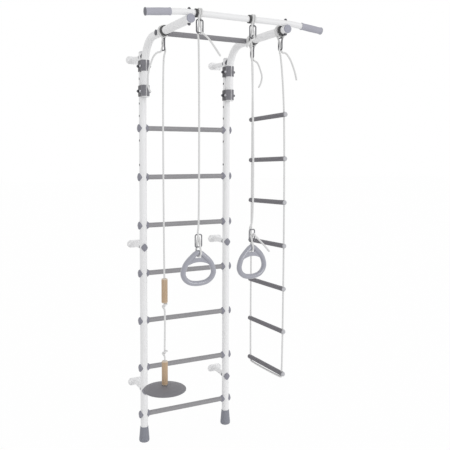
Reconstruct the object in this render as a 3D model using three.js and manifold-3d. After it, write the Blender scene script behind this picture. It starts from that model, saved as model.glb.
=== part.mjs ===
// Childrens sports complex: wall bars and a gantry with a pull-up bar, rings, a disc swing and a rope ladder.
// Millimetres, +Z up. The origin is on the floor midway between the uprights, the wall is towards +Y,
// and +X runs from the left upright to the right one as seen from the room.
import * as THREE from "three";
import { mergeVertices } from "three/addons/utils/BufferGeometryUtils.js";
import Module from "manifold-3d";

// Standing frame
const uprightSpacing = 480;
const uprightDiameter = 38;
const uprightWall = 1.5;
const uprightBottom = 6;
const uprightAboveClamp = 68;
const plugDome = 10;
const rungFirst = 146.5;
const rungPitch = 250;
const rungCount = 7;
const rungDiameter = 25.5;
const fit = 0.3;
const boltDiameter = 8;
const boltFit = 0.4;
const holePitch = 62.5;
const adjustHoleDiameter = 7;
const adjustHoleSteps = [-3, -1, 1, 2, 4];
const lowerClampStep = 3;
const upperClampStep = 5;

// Saddle pads: the diamond caps and collars that hug an upright
const padWidth = 33;
const padHeight = 41;
const collarThickness = 12;
const capThickness = 6;
const rungCapThickness = 9;
const padBevel = 3;
const thinCap = 3;
const capRing = 10;
const capRingHeight = 1;

// Feet
const footHeight = 80;
const footBottomDiameter = 54;
const footTopDiameter = 43;
const footRim = 1;
const footLip = 4;
const soleRound = 2;
const soleRise = 12;

// Wall brackets: the lower two pairs are placed in rung pitches above the first rung
const bracketPitchShares = [0.52, 3.546];
const topBracketDrop = 19.5;
const wallDistance = 142;
const plateThickness = 4;
const plateLength = 84;
const plateHeight = 40;
const plateHolePitch = 59;
const plateHoleDiameter = 6;
const stemDiameter = 25;
const stemWeld = 3;

// Arms and their clamps
const armDiameter = 38;
const armSetback = 38.6;
const armBelowClamp = 32;
const armAboveClamp = 127;
const armBendRadius = 125;
const armReach = 608;
const armWall = 1.5;
const armPlug = 7;
const clampHeight = 55;
const clampWall = 3.4;
const clampGap = 4;
const clampBoltDrop = 3;
const clampHeadDiameter = 13;
const clampHeadLength = 12;

// Crossbar
const crossbarDiameter = 25.5;
const crossbarDepth = 247;
const crossbarCapDiameter = 28;
const crossbarCap = 5;

// Pull-up bar
const barDiameter = 27;
const barInset = 17;
const barRise = 28;
const barBeyondArm = 35;
const barBareEnd = 49;
const barDroop = 17;
const barNutDiameter = 14;
const barNutHeight = 8;
const gripLength = 112;
const gripWall = 1.6;
const gripSwell = 0.4;
const gripFlange = 34;
const gripFlangeWidth = 7;

// Ropes and their fittings
const ropeDiameter = 9;
const ropeGap = 0.5;
const strandGap = 0.7;
const linkWidth = 36;
const linkHeight = 60;
const linkWire = 5.5;
const linkCorner = 7;
const armSleeveWidth = 16;
const barSleeveWidth = 10;
const sleeveWall = 5.2;
const sleeveEdge = 1.3;

// Where the ropes are wound, from the crossbar and from the arms' front ends
const discHangerAhead = 46;
const ladderHangerAhead = 36;
const ladderHangerInset = 60;
const discLinkDrop = 31;
const ringLinkDrop = 24;
const ladderBackLinkDrop = 29;
const ladderFrontLinkDrop = 29;

// Gym rings
const ringWidth = 167;
const ringHeight = 157;
const ringSection = 22;
const ringLinkAbove = 71;
const leftRingInset = 44;
const leftRingDrop = 1015;
const rightRingInset = 169;
const rightRingDrop = 1007;
const rightRingLean = 7.2;
const webThickness = 9;
const webTopDrop = 34;
const webBottomDrop = 53;
const slotWidth = 30;

// Disc swing
const discDiameter = 206;
const discDrop = 1682;
const discRise = 18;
const discWall = 5;
const discHub = 15;
const handleDiameter = 30;
const handleLength = 122;
const handleRound = 3;
const upperHandleDrop = 1159;
const lowerHandleDrop = 1559;
const freeKnotDrop = 1515;

// Rope ladder
const ladderRungCount = 7;
const ladderTopDrop = 390.8;
const ladderRungPitch = 203.7;
const ladderRungDiameter = 22;
const ladderLineAhead = 42;
const ladderLineInset = 23;
const ladderHoleInset = 14;
const ladderRungPlug = 5;
const ladderRungTilt = 1.76;

const wasm = await Module();
wasm.setup();

const uprightRadius = uprightDiameter / 2;
const armRadius = armDiameter / 2;
const ropeRadius = ropeDiameter / 2;
const halfSpacing = uprightSpacing / 2;
const overrun = uprightDiameter;

// Heights and depths that follow from the rungs, the adjusting holes and the arms' reach
const rungHeights = Array.from({ length: rungCount }, (_, i) => rungFirst + i * rungPitch);
const topRung = rungHeights[rungCount - 1];
const lowerClamp = topRung + lowerClampStep * holePitch;
const upperClamp = topRung + upperClampStep * holePitch;
const clampHeights = [lowerClamp, upperClamp];
const adjustHeights = adjustHoleSteps.map((step) => topRung + step * holePitch);
const uprightTop = upperClamp + uprightAboveClamp;
const bracketHeights = [
  ...bracketPitchShares.map((share) => rungFirst + share * rungPitch),
  uprightTop - topBracketDrop,
];
const armBottom = lowerClamp - armBelowClamp;
const armHeight = upperClamp + armAboveClamp;
const barDepth = armReach - barInset;
const barStraight = uprightSpacing + 2 * barBeyondArm;
const barSpan = barStraight + 2 * (barBareEnd + gripLength);

// Sides of the round forms
const tubeSides = 16;
const boreSides = 8;
const barSides = 12;
const boltSides = 6;
const wireSides = 5;
const ropeSides = 6;
const discSides = 24;
const openingSides = 32;
const ladderRungSides = 10;
const arcSteps = 3;

const axisY = new THREE.Vector3(0, 1, 0);

// Materials
const paint = (color, roughness, metalness) =>
  new THREE.MeshStandardMaterial({ color, roughness, metalness });
const looks = {
  white: paint(0xe6e6e8, 0.35, 0.1),
  greyPaint: paint(0x9b9a9f, 0.4, 0.1),
  clamp: paint(0x77777c, 0.5, 0),
  rubber: paint(0x8f909c, 0.8, 0),
  sleeve: paint(0x525252, 0.8, 0),
  grip: paint(0xafafb9, 0.85, 0),
  rope: paint(0xdcdcdc, 0.95, 0),
  steel: paint(0x8a8a8c, 0.25, 0.9),
  ring: paint(0xaaaab6, 0.5, 0),
  wood: paint(0xcdb597, 0.6, 0),
  disc: paint(0x86838a, 0.7, 0),
  ladderRung: paint(0x7b7a80, 0.55, 0),
};

const complex = new THREE.Group();

const place = (name, geometry, material) => {
  const mesh = new THREE.Mesh(geometry, material);
  mesh.name = name;
  complex.add(mesh);
};

// Solids from closed geometry, and back
const solid = (geometry) => {
  const bare = geometry.index ? geometry : geometry.clone();
  bare.deleteAttribute("normal");
  bare.deleteAttribute("uv");
  const merged = mergeVertices(bare);
  return new wasm.Manifold(new wasm.Mesh({
    numProp: 3,
    vertProperties: new Float32Array(merged.attributes.position.array),
    triVerts: new Uint32Array(merged.index.array),
  }));
};

const surface = (manifold) => {
  const mesh = manifold.getMesh();
  const geometry = new THREE.BufferGeometry();
  geometry.setAttribute("position", new THREE.BufferAttribute(mesh.vertProperties, 3));
  geometry.setIndex(new THREE.BufferAttribute(mesh.triVerts, 1));
  return geometry;
};

const joined = (first, ...others) => others.reduce((sum, next) => sum.add(next), first);
const trimmed = (first, ...others) => others.reduce((rest, next) => rest.subtract(next), first);

// A round bar between two points
const rod = (from, to, radius, sides) => {
  const span = new THREE.Vector3().subVectors(to, from);
  const geometry = new THREE.CylinderGeometry(radius, radius, span.length(), sides);
  geometry.applyQuaternion(new THREE.Quaternion().setFromUnitVectors(axisY, span.clone().normalize()));
  geometry.translate((from.x + to.x) / 2, (from.y + to.y) / 2, (from.z + to.z) / 2);
  return solid(geometry);
};

const at = (x, y, z) => new THREE.Vector3(x, y, z);

// The corner radius of a faceted bore whose flats clear a round piece by the fit
const boreFor = (radius, sideCount) => (radius + fit) / Math.cos(Math.PI / sideCount);

// A body of revolution about Z, from [radius, height] pairs
const turned = (profile, sides) => {
  const points = profile.map(([r, z]) => new THREE.Vector2(r, z));
  const ordered = THREE.ShapeUtils.area(points) > 0 ? points : points.reverse();
  return solid(new THREE.LatheGeometry(ordered, sides).rotateX(Math.PI / 2));
};

// A route whose steps fall exactly on its points
class Route extends THREE.Curve {
  constructor(points) {
    super();
    this.points = points;
  }

  getPoint(t, target = new THREE.Vector3()) {
    const along = t * (this.points.length - 1);
    const step = Math.min(Math.floor(along), this.points.length - 2);
    return target.lerpVectors(this.points[step], this.points[step + 1], along - step);
  }

  getPointAt(u, target) {
    return this.getPoint(u, target);
  }

  getTangentAt(u, target = new THREE.Vector3()) {
    const last = this.points.length - 1;
    const index = Math.round(u * last);
    const before = this.points[Math.max(index - 1, 0)];
    const here = this.points[index];
    const after = this.points[Math.min(index + 1, last)];
    const arriving = new THREE.Vector3().subVectors(here, before).normalize();
    const leaving = new THREE.Vector3().subVectors(after, here).normalize();
    return target.addVectors(arriving, leaving).normalize();
  }
}

const roundSection = (radius, sides) => {
  const outline = [];
  for (let i = 0; i < sides; i += 1) {
    const turn = (2 * Math.PI * i) / sides;
    outline.push(new THREE.Vector2(radius * Math.cos(turn), radius * Math.sin(turn)));
  }
  return new THREE.Shape(outline);
};

// A round bar along a list of points
const tube = (points, radius, sides) =>
  new THREE.ExtrudeGeometry(roundSection(radius, sides), {
    steps: points.length - 1,
    bevelEnabled: false,
    extrudePath: new Route(points),
  });

// Saddle pads: a rounded diamond seen along +X, thick beyond the upright's face
const diamondPower = 1.5;
const diamondPoints = 10;

const diamondOutline = (width, height) => {
  const outline = [];
  for (let i = 0; i < diamondPoints; i += 1) {
    const turn = (2 * Math.PI * i) / diamondPoints;
    const across = Math.sign(Math.cos(turn)) * Math.abs(Math.cos(turn)) ** (2 / diamondPower);
    const up = Math.sign(Math.sin(turn)) * Math.abs(Math.sin(turn)) ** (2 / diamondPower);
    outline.push(new THREE.Vector2((across * width) / 2, (up * height) / 2));
  }
  return new THREE.Shape(outline);
};

// The pad grows along +X from the upright's axis, which is at the origin here, and hugs its surface
const saddlePad = (thickness, bevelled = true) => {
  const depth = uprightRadius + thickness - (bevelled ? padBevel : 0);
  const geometry = new THREE.ExtrudeGeometry(diamondOutline(padWidth, padHeight), {
    depth,
    steps: 1,
    bevelEnabled: bevelled,
    bevelThickness: padBevel,
    bevelSize: padBevel,
    bevelOffset: -padBevel,
    bevelSegments: 1,
  });
  geometry.rotateX(Math.PI / 2).rotateZ(Math.PI / 2);
  const hug = rod(at(0, 0, -padHeight), at(0, 0, padHeight), uprightRadius + fit, tubeSides);
  const keep = rod(at(0, 0, 0), at(depth + padBevel, 0, 0), padHeight, boltSides);
  return solid(geometry).intersect(keep).subtract(hug);
};

const capFace = uprightRadius + capThickness;
const outerPad = saddlePad(capThickness);
const ringedCap = joined(
  outerPad,
  rod(at(capFace - capRingHeight, 0, 0), at(capFace + capRingHeight, 0, 0), capRing, boreSides),
);
const collar = saddlePad(collarThickness, false);

// Rungs: the bar with its two collars, bolts and outer caps
const rungCap = saddlePad(rungCapThickness);

const makeRung = (height) => {
  const inner = halfSpacing - uprightRadius - collarThickness / 2;
  const parts = [rod(at(-inner, 0, height), at(inner, 0, height), rungDiameter / 2, barSides)];
  for (const side of [-1, 1]) {
    const turn = side < 0 ? 180 : 0;
    const centre = side * halfSpacing;
    parts.push(rungCap.rotate([0, 0, turn]).translate([centre, 0, height]));
    parts.push(collar.rotate([0, 0, 180 - turn]).translate([centre, 0, height]));
    const reach = uprightRadius + capThickness / 2;
    const ends = [at(centre - reach, 0, height), at(centre + reach, 0, height)];
    parts.push(rod(...ends, boltDiameter / 2, boltSides));
  }
  return joined(...parts);
};

rungHeights.forEach((height, i) => {
  place(`wall_bar_rung_${i + 1}`, surface(makeRung(height)), looks.greyPaint);
});

// Uprights: plugged tubes with bolt holes for rungs, brackets and clamps
const plugDomeShare = 0.7;

const crossHole = (y, z, radius) => rod(at(-overrun, y, z), at(overrun, y, z), radius, boltSides);
const boltHole = boltDiameter / 2 + boltFit;

const makeUpright = (x) => {
  const body = turned([
    [0, uprightTop + plugDome],
    [uprightRadius * plugDomeShare, uprightTop + plugDome * plugDomeShare],
    [uprightRadius, uprightTop],
    [uprightRadius, uprightBottom],
    [0, uprightBottom],
  ], tubeSides);
  const boreTop = at(0, 0, uprightTop - plugDome);
  const bore = rod(at(0, 0, -overrun), boreTop, uprightRadius - uprightWall, boreSides);
  const holes = [bore];
  for (const height of [...rungHeights, ...clampHeights]) {
    holes.push(crossHole(0, height, boltHole));
  }
  for (const height of adjustHeights) {
    holes.push(crossHole(0, height, adjustHoleDiameter / 2));
  }
  for (const height of bracketHeights) {
    holes.push(rod(at(0, -overrun, height), at(0, overrun, height), boltHole, boltSides));
  }
  return trimmed(body, ...holes).translate([x, 0, 0]);
};

const sides = { left: -halfSpacing, right: halfSpacing };
for (const [side, x] of Object.entries(sides)) {
  place(`${side}_upright`, surface(makeUpright(x)), looks.white);
}

// Feet: tapered rubber boots that the uprights stand in
const makeFoot = (x) => turned([
  [0, uprightBottom - fit],
  [boreFor(uprightRadius, tubeSides), uprightBottom - fit],
  [boreFor(uprightRadius, tubeSides), footHeight],
  [footTopDiameter / 2 - footRim, footHeight],
  [footTopDiameter / 2, footHeight - footLip],
  [footBottomDiameter / 2, soleRise],
  [footBottomDiameter / 2, soleRound],
  [footBottomDiameter / 2 - soleRound, 0],
  [0, 0],
], tubeSides).translate([x, 0, 0]);

for (const [side, x] of Object.entries(sides)) {
  place(`${side}_foot`, surface(makeFoot(x)), looks.rubber);
}

// Wall brackets: plate, stem, saddle washer, bolt and front cap
const makeBracket = (frontCap) => {
  const half = (plateLength - plateHeight) / 2;
  const plate = new THREE.Shape();
  plate.absarc(half, 0, plateHeight / 2, -Math.PI / 2, Math.PI / 2, false);
  plate.absarc(-half, 0, plateHeight / 2, Math.PI / 2, (3 * Math.PI) / 2, false);
  for (const side of [-1, 1]) {
    const hole = new THREE.Path();
    hole.absarc((side * plateHolePitch) / 2, 0, plateHoleDiameter / 2, 0, 2 * Math.PI, true);
    plate.holes.push(hole);
  }
  const flat = new THREE.ExtrudeGeometry(plate, {
    depth: plateThickness,
    bevelEnabled: false,
    curveSegments: arcSteps,
  });
  flat.rotateX(Math.PI / 2).translate(0, wallDistance, 0);
  const stemEnd = wallDistance - plateThickness + stemWeld / 2;
  const stem = rod(at(0, capFace - stemWeld, 0), at(0, stemEnd, 0), stemDiameter / 2, barSides);
  const reach = uprightRadius + capThickness / 2;
  return joined(
    solid(flat),
    stem,
    outerPad.rotate([0, 0, 90]),
    frontCap.rotate([0, 0, -90]),
    rod(at(0, -reach, 0), at(0, reach, 0), boltDiameter / 2, boltSides),
  );
};

// The highest pair sits behind the arms' bends, which leave room for a thin cap only
bracketHeights.forEach((height, i) => {
  const bracket = makeBracket(i < bracketHeights.length - 1 ? ringedCap : saddlePad(thinCap));
  for (const [side, x] of Object.entries(sides)) {
    place(`${side}_wall_bracket_${i + 1}`, surface(bracket.translate([x, 0, height])), looks.white);
  }
});

// Arms: bent tubes that stand in front of the uprights
const armVertical = -armSetback;
const bendSteps = 6;

const armRoute = () => {
  const centreY = armVertical - armBendRadius;
  const centreZ = armHeight - armBendRadius;
  const points = [at(0, armVertical, armBottom)];
  for (let i = 0; i <= bendSteps; i += 1) {
    const turn = (Math.PI / 2) * (i / bendSteps);
    points.push(at(0, centreY + armBendRadius * Math.cos(turn), centreZ + armBendRadius * Math.sin(turn)));
  }
  points.push(at(0, -armReach, armHeight));
  return points;
};

const plugged = (inner) => {
  const points = inner.map((point) => point.clone());
  points[0].z += armPlug;
  points[points.length - 1].y += armPlug;
  return points;
};

const barAxis = { y: -barDepth, z: armHeight + barRise };

const barRoute = () => [
  at(-barSpan / 2, barAxis.y, barAxis.z - barDroop),
  at(-barStraight / 2, barAxis.y, barAxis.z),
  at(barStraight / 2, barAxis.y, barAxis.z),
  at(barSpan / 2, barAxis.y, barAxis.z - barDroop),
];

const armPlugEdgeShare = 0.8;
const armPlugRiseShare = 0.7;

const makeArm = (x) => {
  const dome = turned([
    [0, 0],
    [armRadius, 0],
    [armRadius * armPlugEdgeShare, armPlug * armPlugRiseShare],
    [0, armPlug],
  ], tubeSides);
  const holes = clampHeights.map((height) => crossHole(armVertical, height - clampBoltDrop, boltHole));
  const seatRadius = boreFor(barDiameter / 2, barSides);
  const seatEnds = [at(-overrun, barAxis.y, barAxis.z), at(overrun, barAxis.y, barAxis.z)];
  const seat = rod(...seatEnds, seatRadius, barSides);
  const barHole = rod(at(0, barAxis.y, armHeight - overrun), at(0, barAxis.y, armHeight + overrun),
    boltHole, boltSides);
  const body = joined(
    solid(tube(armRoute(), armRadius, tubeSides)),
    dome.rotate([90, 0, 0]).translate([0, -armReach, armHeight]),
  );
  const bore = solid(tube(plugged(armRoute()), armRadius - armWall, boreSides));
  const barBores = [crossHole(-crossbarDepth, armHeight, boltHole), seat, barHole];
  return trimmed(body, bore, ...holes, ...barBores).translate([x, 0, 0]);
};

for (const [side, x] of Object.entries(sides)) {
  place(`${side}_arm`, surface(makeArm(x)), looks.white);
}

// Clamps: half shells left and right of the two tubes, drawn together by two bolts
const clampOutline = (radius) => {
  const outline = new THREE.Shape();
  outline.absarc(0, 0, radius, 0, Math.PI, false);
  outline.absarc(0, armVertical, radius, Math.PI, 2 * Math.PI, false);
  return outline;
};

const clampArcSteps = 4;

const clampBlock = (radius, height) => solid(new THREE.ExtrudeGeometry(clampOutline(radius), {
  depth: height,
  bevelEnabled: false,
  curveSegments: clampArcSteps,
}));

const makeClampHalf = (side, height) => {
  const outer = uprightRadius + clampWall;
  const shell = clampBlock(outer, clampHeight).translate([0, 0, -clampHeight / 2]);
  const tall = 2 * clampHeight;
  const keep = solid(new THREE.BoxGeometry(overrun, 4 * overrun, tall)
    .translate(side * (overrun / 2 + clampGap / 2), armVertical / 2, 0));
  const uprightRoom = rod(at(0, 0, -tall / 2), at(0, 0, tall / 2), uprightRadius + fit, tubeSides);
  const armRoom = solid(tube(armRoute(), armRadius + fit, tubeSides)).translate([0, 0, -height]);
  const half = trimmed(shell.intersect(keep), uprightRoom, armRoom);
  const bolts = [[0, 0], [armVertical, -clampBoltDrop]];
  const face = uprightRadius + clampWall;
  if (side > 0) {
    const holes = bolts.map(([y, z]) => rod(at(0, y, z), at(overrun, y, z), boltHole, boltSides));
    return trimmed(half, ...holes);
  }
  const shanks = bolts.map(([y, z]) =>
    rod(at(-face, y, z), at(face + clampHeadLength, y, z), boltDiameter / 2, boltSides));
  const head = clampHeadLength / 2;
  const heads = bolts.map(([y, z]) =>
    rod(at(-face - head, y, z), at(-face + fit, y, z), clampHeadDiameter / 2, boltSides));
  const nuts = bolts.map(([y, z]) =>
    rod(at(face + fit, y, z), at(face + fit + head, y, z), clampHeadDiameter / 2, boltSides));
  return joined(half, ...shanks, ...heads, ...nuts);
};

clampHeights.forEach((height, i) => {
  const halves = { left: makeClampHalf(-1, height), right: makeClampHalf(1, height) };
  for (const [side, x] of Object.entries(sides)) {
    for (const [half, shape] of Object.entries(halves)) {
      place(`${side}_clamp_${i + 1}_${half}_half`, surface(shape.translate([x, 0, height])), looks.clamp);
    }
  }
});

// Crossbar between the arms, bolted through them
const makeCrossbar = () => {
  const inner = halfSpacing - armRadius - fit;
  const crossRod = (from, to, diameter, sideCount) =>
    rod(at(from, -crossbarDepth, armHeight), at(to, -crossbarDepth, armHeight), diameter / 2, sideCount);
  const parts = [crossRod(-inner, inner, crossbarDiameter, barSides)];
  for (const side of [-1, 1]) {
    const face = side * (halfSpacing + armRadius + fit);
    parts.push(crossRod(side * (inner - fit), face + side * fit, boltDiameter, boltSides));
    parts.push(crossRod(face, face + side * crossbarCap, crossbarCapDiameter, barSides));
  }
  return joined(...parts);
};
place("arm_crossbar", surface(makeCrossbar()), looks.greyPaint);

// Pull-up bar with its two vertical bolts
const makeBar = () => {
  const parts = [solid(tube(barRoute(), barDiameter / 2, barSides))];
  for (const x of Object.values(sides)) {
    const top = barAxis.z + barDiameter / 2 - fit;
    const bottom = armHeight - armRadius - fit;
    const standing = (from, to, diameter) =>
      rod(at(x, barAxis.y, from), at(x, barAxis.y, to), diameter / 2, boltSides);
    parts.push(standing(bottom - barNutHeight, barAxis.z, boltDiameter));
    parts.push(standing(top, top + barNutHeight, barNutDiameter));
    parts.push(standing(bottom - barNutHeight, bottom, barNutDiameter));
  }
  return joined(...parts);
};
place("pull_up_bar", surface(makeBar()), looks.white);

// Grips: soft sleeves with a flange at each end
const makeGrip = () => {
  const outer = barDiameter / 2 + gripWall;
  const bore = boreFor(barDiameter / 2, barSides);
  return turned([
    [0, -gripWall],
    [gripFlange / 2 - gripWall, -gripWall],
    [gripFlange / 2, 0],
    [outer + gripSwell, gripFlangeWidth],
    [outer, gripLength / 2],
    [outer, gripLength - gripFlangeWidth],
    [gripFlange / 2 - gripWall / 2, gripLength],
    [bore, gripLength],
    [bore, -fit],
    [0, -fit],
  ], barSides);
};

const gripTilt = Math.atan2(barDroop, (barSpan - barStraight) / 2);
const gripShapes = { left: 1, right: -1 };
for (const [side, inward] of Object.entries(gripShapes)) {
  const end = barRoute()[side === "left" ? 0 : 3];
  const grip = makeGrip().rotate([0, inward * (90 - THREE.MathUtils.radToDeg(gripTilt)), 0])
    .translate([end.x, end.y, end.z]);
  place(`${side}_grip`, surface(grip), looks.grip);
}

// Hangers: where each rope is wound round its tube, with the sleeve beside it
const barRadius = barDiameter / 2;
const bar = { along: "x", radius: barRadius, sleeve: barSleeveWidth, y: barAxis.y, z: barAxis.z };
const armTube = { along: "y", radius: armRadius, sleeve: armSleeveWidth, z: armHeight };
const leftArm = { ...armTube, x: -halfSpacing };
const rightArm = { ...armTube, x: halfSpacing };
const strandOffset = ropeRadius + strandGap;
const passOffset = linkWire / 2 + ropeRadius + ropeGap;
const windPitch = ropeDiameter + ropeGap * 2;
const passRise = linkWire * 2;
const passShare = 0.7;
const loopSteps = 14;

const leftRingX = leftRingInset - halfSpacing;
const rightRingX = halfSpacing - rightRingInset;
const discHanger = -crossbarDepth - discHangerAhead;
const leftRingHanger = leftRingX + strandOffset;
const rightRingHanger = rightRingX + strandOffset - rightRingLean;
const ladderBackHanger = -crossbarDepth - ladderHangerAhead;
const ladderFrontHanger = ladderHangerInset - armReach;

const hangers = {
  disc: { tube: leftArm, rope: discHanger, linkDrop: discLinkDrop, lean: -1 },
  leftRing: { tube: bar, rope: leftRingHanger, linkDrop: ringLinkDrop, lean: 1 },
  rightRing: { tube: bar, rope: rightRingHanger, linkDrop: ringLinkDrop, lean: 1 },
  ladderBack: { tube: rightArm, rope: ladderBackHanger, linkDrop: ladderBackLinkDrop, lean: 1 },
  ladderFront: { tube: rightArm, rope: ladderFrontHanger, linkDrop: ladderFrontLinkDrop, lean: 1 },
};

// Local to world: u is square to the tube, v runs along it and w goes up from its axis
const toWorld = (hanger, u, v, w) => (hanger.tube.along === "x"
  ? at(hanger.rope + v, hanger.tube.y - hanger.lean * u, hanger.tube.z + w)
  : at(hanger.tube.x + hanger.lean * u, hanger.rope + v, hanger.tube.z + w));

// The winding: its radius, the turns where it leaves the tube and how far it spreads along the tube
const winding = (hanger) => {
  const radius = hanger.tube.radius + ropeGap + ropeRadius;
  const linkTop = -hanger.linkDrop - linkWire / 2;
  const distance = Math.hypot(passOffset, linkTop);
  const first = Math.atan2(linkTop, passOffset) + Math.acos(radius / distance);
  const last = 3 * Math.PI - first;
  const turns = (last - first) / (2 * Math.PI);
  return { radius, linkTop, first, last, turns, advance: windPitch * turns };
};

// From the standing part, up through the link, round the tube and down through the link again
const hangerRoute = (hanger) => {
  const { radius, linkTop, first, last, turns, advance } = winding(hanger);
  const linkBottom = linkTop - linkHeight + linkWire;
  const middle = (linkTop + linkBottom) / 2;
  const count = Math.round(turns * loopSteps);
  const local = [
    [0, -strandOffset, linkBottom - linkWidth],
    [-passOffset * passShare, -strandOffset, linkBottom - passRise],
    [-passOffset, -strandOffset, linkBottom],
    [-passOffset * passShare, -strandOffset, linkBottom + passRise],
    [0, -strandOffset, middle],
    [passOffset * passShare, -strandOffset, linkTop - passRise],
    [passOffset, -advance / 2, linkTop],
  ];
  for (let i = 0; i <= count; i += 1) {
    const share = i / count;
    const turn = first + (last - first) * share;
    local.push([radius * Math.cos(turn), (advance * (2 * share - 1)) / 2, radius * Math.sin(turn)]);
  }
  local.push(
    [-passOffset, advance / 2, linkTop],
    [-passOffset * passShare, strandOffset, linkTop - passRise],
    [0, strandOffset, middle],
    [passOffset * passShare, strandOffset, linkBottom + passRise],
    [passOffset, strandOffset, linkBottom],
  );
  return local.map(([u, v, w]) => toWorld(hanger, u, v, w));
};

// Links: steel frames of round wire
const linkRoute = () => {
  const half = (linkWidth - linkWire) / 2;
  const tall = (linkHeight - linkWire) / 2;
  const points = [];
  for (const [sx, sz, start] of [[1, 1, 0], [-1, 1, 1], [-1, -1, 2], [1, -1, 3]]) {
    for (let i = 0; i <= 2; i += 1) {
      const turn = (Math.PI / 2) * (start + i / 2);
      points.push(at(sx * (half - linkCorner) + linkCorner * Math.cos(turn), 0,
        sz * (tall - linkCorner) + linkCorner * Math.sin(turn)));
    }
  }
  return points;
};

// A closed bar of round section swept round a loop of points in the XZ plane
const closedSweep = (points, radius, sideCount) => {
  const positions = [];
  const index = [];
  const count = points.length;
  points.forEach((point, i) => {
    const before = points[(i + count - 1) % count];
    const after = points[(i + 1) % count];
    const along = new THREE.Vector3().subVectors(after, before).normalize();
    const outward = new THREE.Vector3().crossVectors(axisY, along);
    for (let j = 0; j < sideCount; j += 1) {
      const turn = (2 * Math.PI * j) / sideCount;
      const out = radius * Math.cos(turn);
      positions.push(point.x + outward.x * out, radius * Math.sin(turn), point.z + outward.z * out);
      const next = ((i + 1) % count) * sideCount;
      const nextSide = (j + 1) % sideCount;
      index.push(i * sideCount + j, next + nextSide, next + j);
      index.push(i * sideCount + j, i * sideCount + nextSide, next + nextSide);
    }
  });
  const geometry = new THREE.BufferGeometry();
  geometry.setAttribute("position", new THREE.Float32BufferAttribute(positions, 3));
  geometry.setIndex(index);
  return geometry;
};

const linkShape = solid(closedSweep(linkRoute(), linkWire / 2, wireSides));

const placeLink = (name, along, x, y, top) => {
  const turn = along === "x" ? 0 : 90;
  const shape = linkShape.rotate([0, 0, turn]).translate([x, y, top - linkHeight / 2]);
  place(name, surface(shape), looks.steel);
};

const placeSleeve = (name, hanger) => {
  const inner = boreFor(hanger.tube.radius, barSides);
  const outer = hanger.tube.radius + sleeveWall;
  const half = hanger.tube.sleeve / 2;
  const centre = hanger.rope - winding(hanger).advance / 2 - ropeRadius - ropeGap - half;
  const ring = turned([
    [inner, -half],
    [outer - sleeveEdge, -half],
    [outer, 0],
    [outer - sleeveEdge, half],
    [inner, half],
    [inner, -half],
  ], barSides);
  const shape = hanger.tube.along === "x"
    ? ring.rotate([0, 90, 0]).translate([centre, hanger.tube.y, hanger.tube.z])
    : ring.rotate([90, 0, 0]).translate([hanger.tube.x, centre, hanger.tube.z]);
  place(name, surface(shape), looks.sleeve);
};

const placeHanger = (name, hanger) => {
  placeSleeve(`${name}_sleeve`, hanger);
  const x = hanger.tube.along === "x" ? hanger.rope : hanger.tube.x;
  const y = hanger.tube.along === "x" ? hanger.tube.y : hanger.rope;
  placeLink(`${name}_link`, hanger.tube.along, x, y, hanger.tube.z - hanger.linkDrop);
};

placeHanger("disc_rope", hangers.disc);
placeHanger("left_ring_rope", hangers.leftRing);
placeHanger("right_ring_rope", hangers.rightRing);
placeHanger("ladder_back", hangers.ladderBack);
placeHanger("ladder_front", hangers.ladderFront);

// The least gap of an unbroken rope to itself, between points too far apart along it to be neighbours
const fineShare = 1 / 3;
const neighbourShare = 2.2;

const selfGap = (points) => {
  const fine = [];
  for (let i = 0; i + 1 < points.length; i += 1) {
    const span = points[i].distanceTo(points[i + 1]);
    const count = Math.max(1, Math.ceil(span / (ropeRadius * fineShare)));
    for (let j = 0; j < count; j += 1) {
      fine.push(points[i].clone().lerp(points[i + 1], j / count));
    }
  }
  const travelled = [0];
  for (let i = 1; i < fine.length; i += 1) {
    travelled.push(travelled[i - 1] + fine[i].distanceTo(fine[i - 1]));
  }
  let least = Infinity;
  for (let i = 0; i < fine.length; i += 1) {
    for (let j = i + 1; j < fine.length; j += 1) {
      if (travelled[j] - travelled[i] > ropeDiameter * neighbourShare) {
        least = Math.min(least, fine[i].distanceTo(fine[j]));
      }
    }
  }
  return { gap: least - ropeDiameter, length: travelled[travelled.length - 1] };
};

const placeRope = (name, points) => {
  const { gap, length } = selfGap(points);
  console.log(`${name}: length ${length.toFixed(0)} mm, least gap to itself ${gap.toFixed(2)} mm`);
  place(name, tube(points, ropeRadius, ropeSides), looks.rope);
};

// Rings: a round bar bent to a rounded triangle, with a web under the rope slot
const ringWidthShares = [0, 0.19, 0.42, 0.64, 0.843, 0.965, 1, 0.985, 0.84, 0.52, 0.18];
const ringHeightShares = [1, 0.975, 0.825, 0.73, 0.624, 0.483, 0.38, 0.29, 0.165, 0.05, 0];
const ringSegments = 24;
const openingShare = 0.62;

const ringCentreLine = () => {
  const half = (ringWidth - ringSection) / 2;
  const tall = ringHeight - ringSection;
  const right = ringWidthShares.map((share, i) => at(half * share, 0, tall * (ringHeightShares[i] - 1)));
  const left = right.slice(1).reverse().map((point) => at(-point.x, 0, point.z));
  const curve = new THREE.CatmullRomCurve3([...right, ...left], true, "centripetal");
  return curve.getPoints(ringSegments).slice(0, -1).reverse();
};

const makeRing = () => {
  const line = ringCentreLine();
  const band = solid(closedSweep(line, ringSection / 2, boreSides));
  const outline = new THREE.Shape(line.map((point) => new THREE.Vector2(point.x, point.z)));
  const web = new THREE.ExtrudeGeometry(outline, { depth: webThickness, bevelEnabled: false });
  web.rotateX(Math.PI / 2).translate(0, webThickness / 2, 0);
  const axisDrop = ringSection / 2;
  const slot = solid(new THREE.BoxGeometry(slotWidth, ringWidth, webTopDrop - axisDrop)
    .translate(0, 0, -(webTopDrop - axisDrop) / 2));
  const openingRadius = ringWidth * openingShare;
  const opening = solid(new THREE.CylinderGeometry(openingRadius, openingRadius, ringWidth, openingSides)
    .translate(0, 0, axisDrop - webBottomDrop - openingRadius));
  return joined(trimmed(solid(web), slot, opening), band);
};

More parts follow.
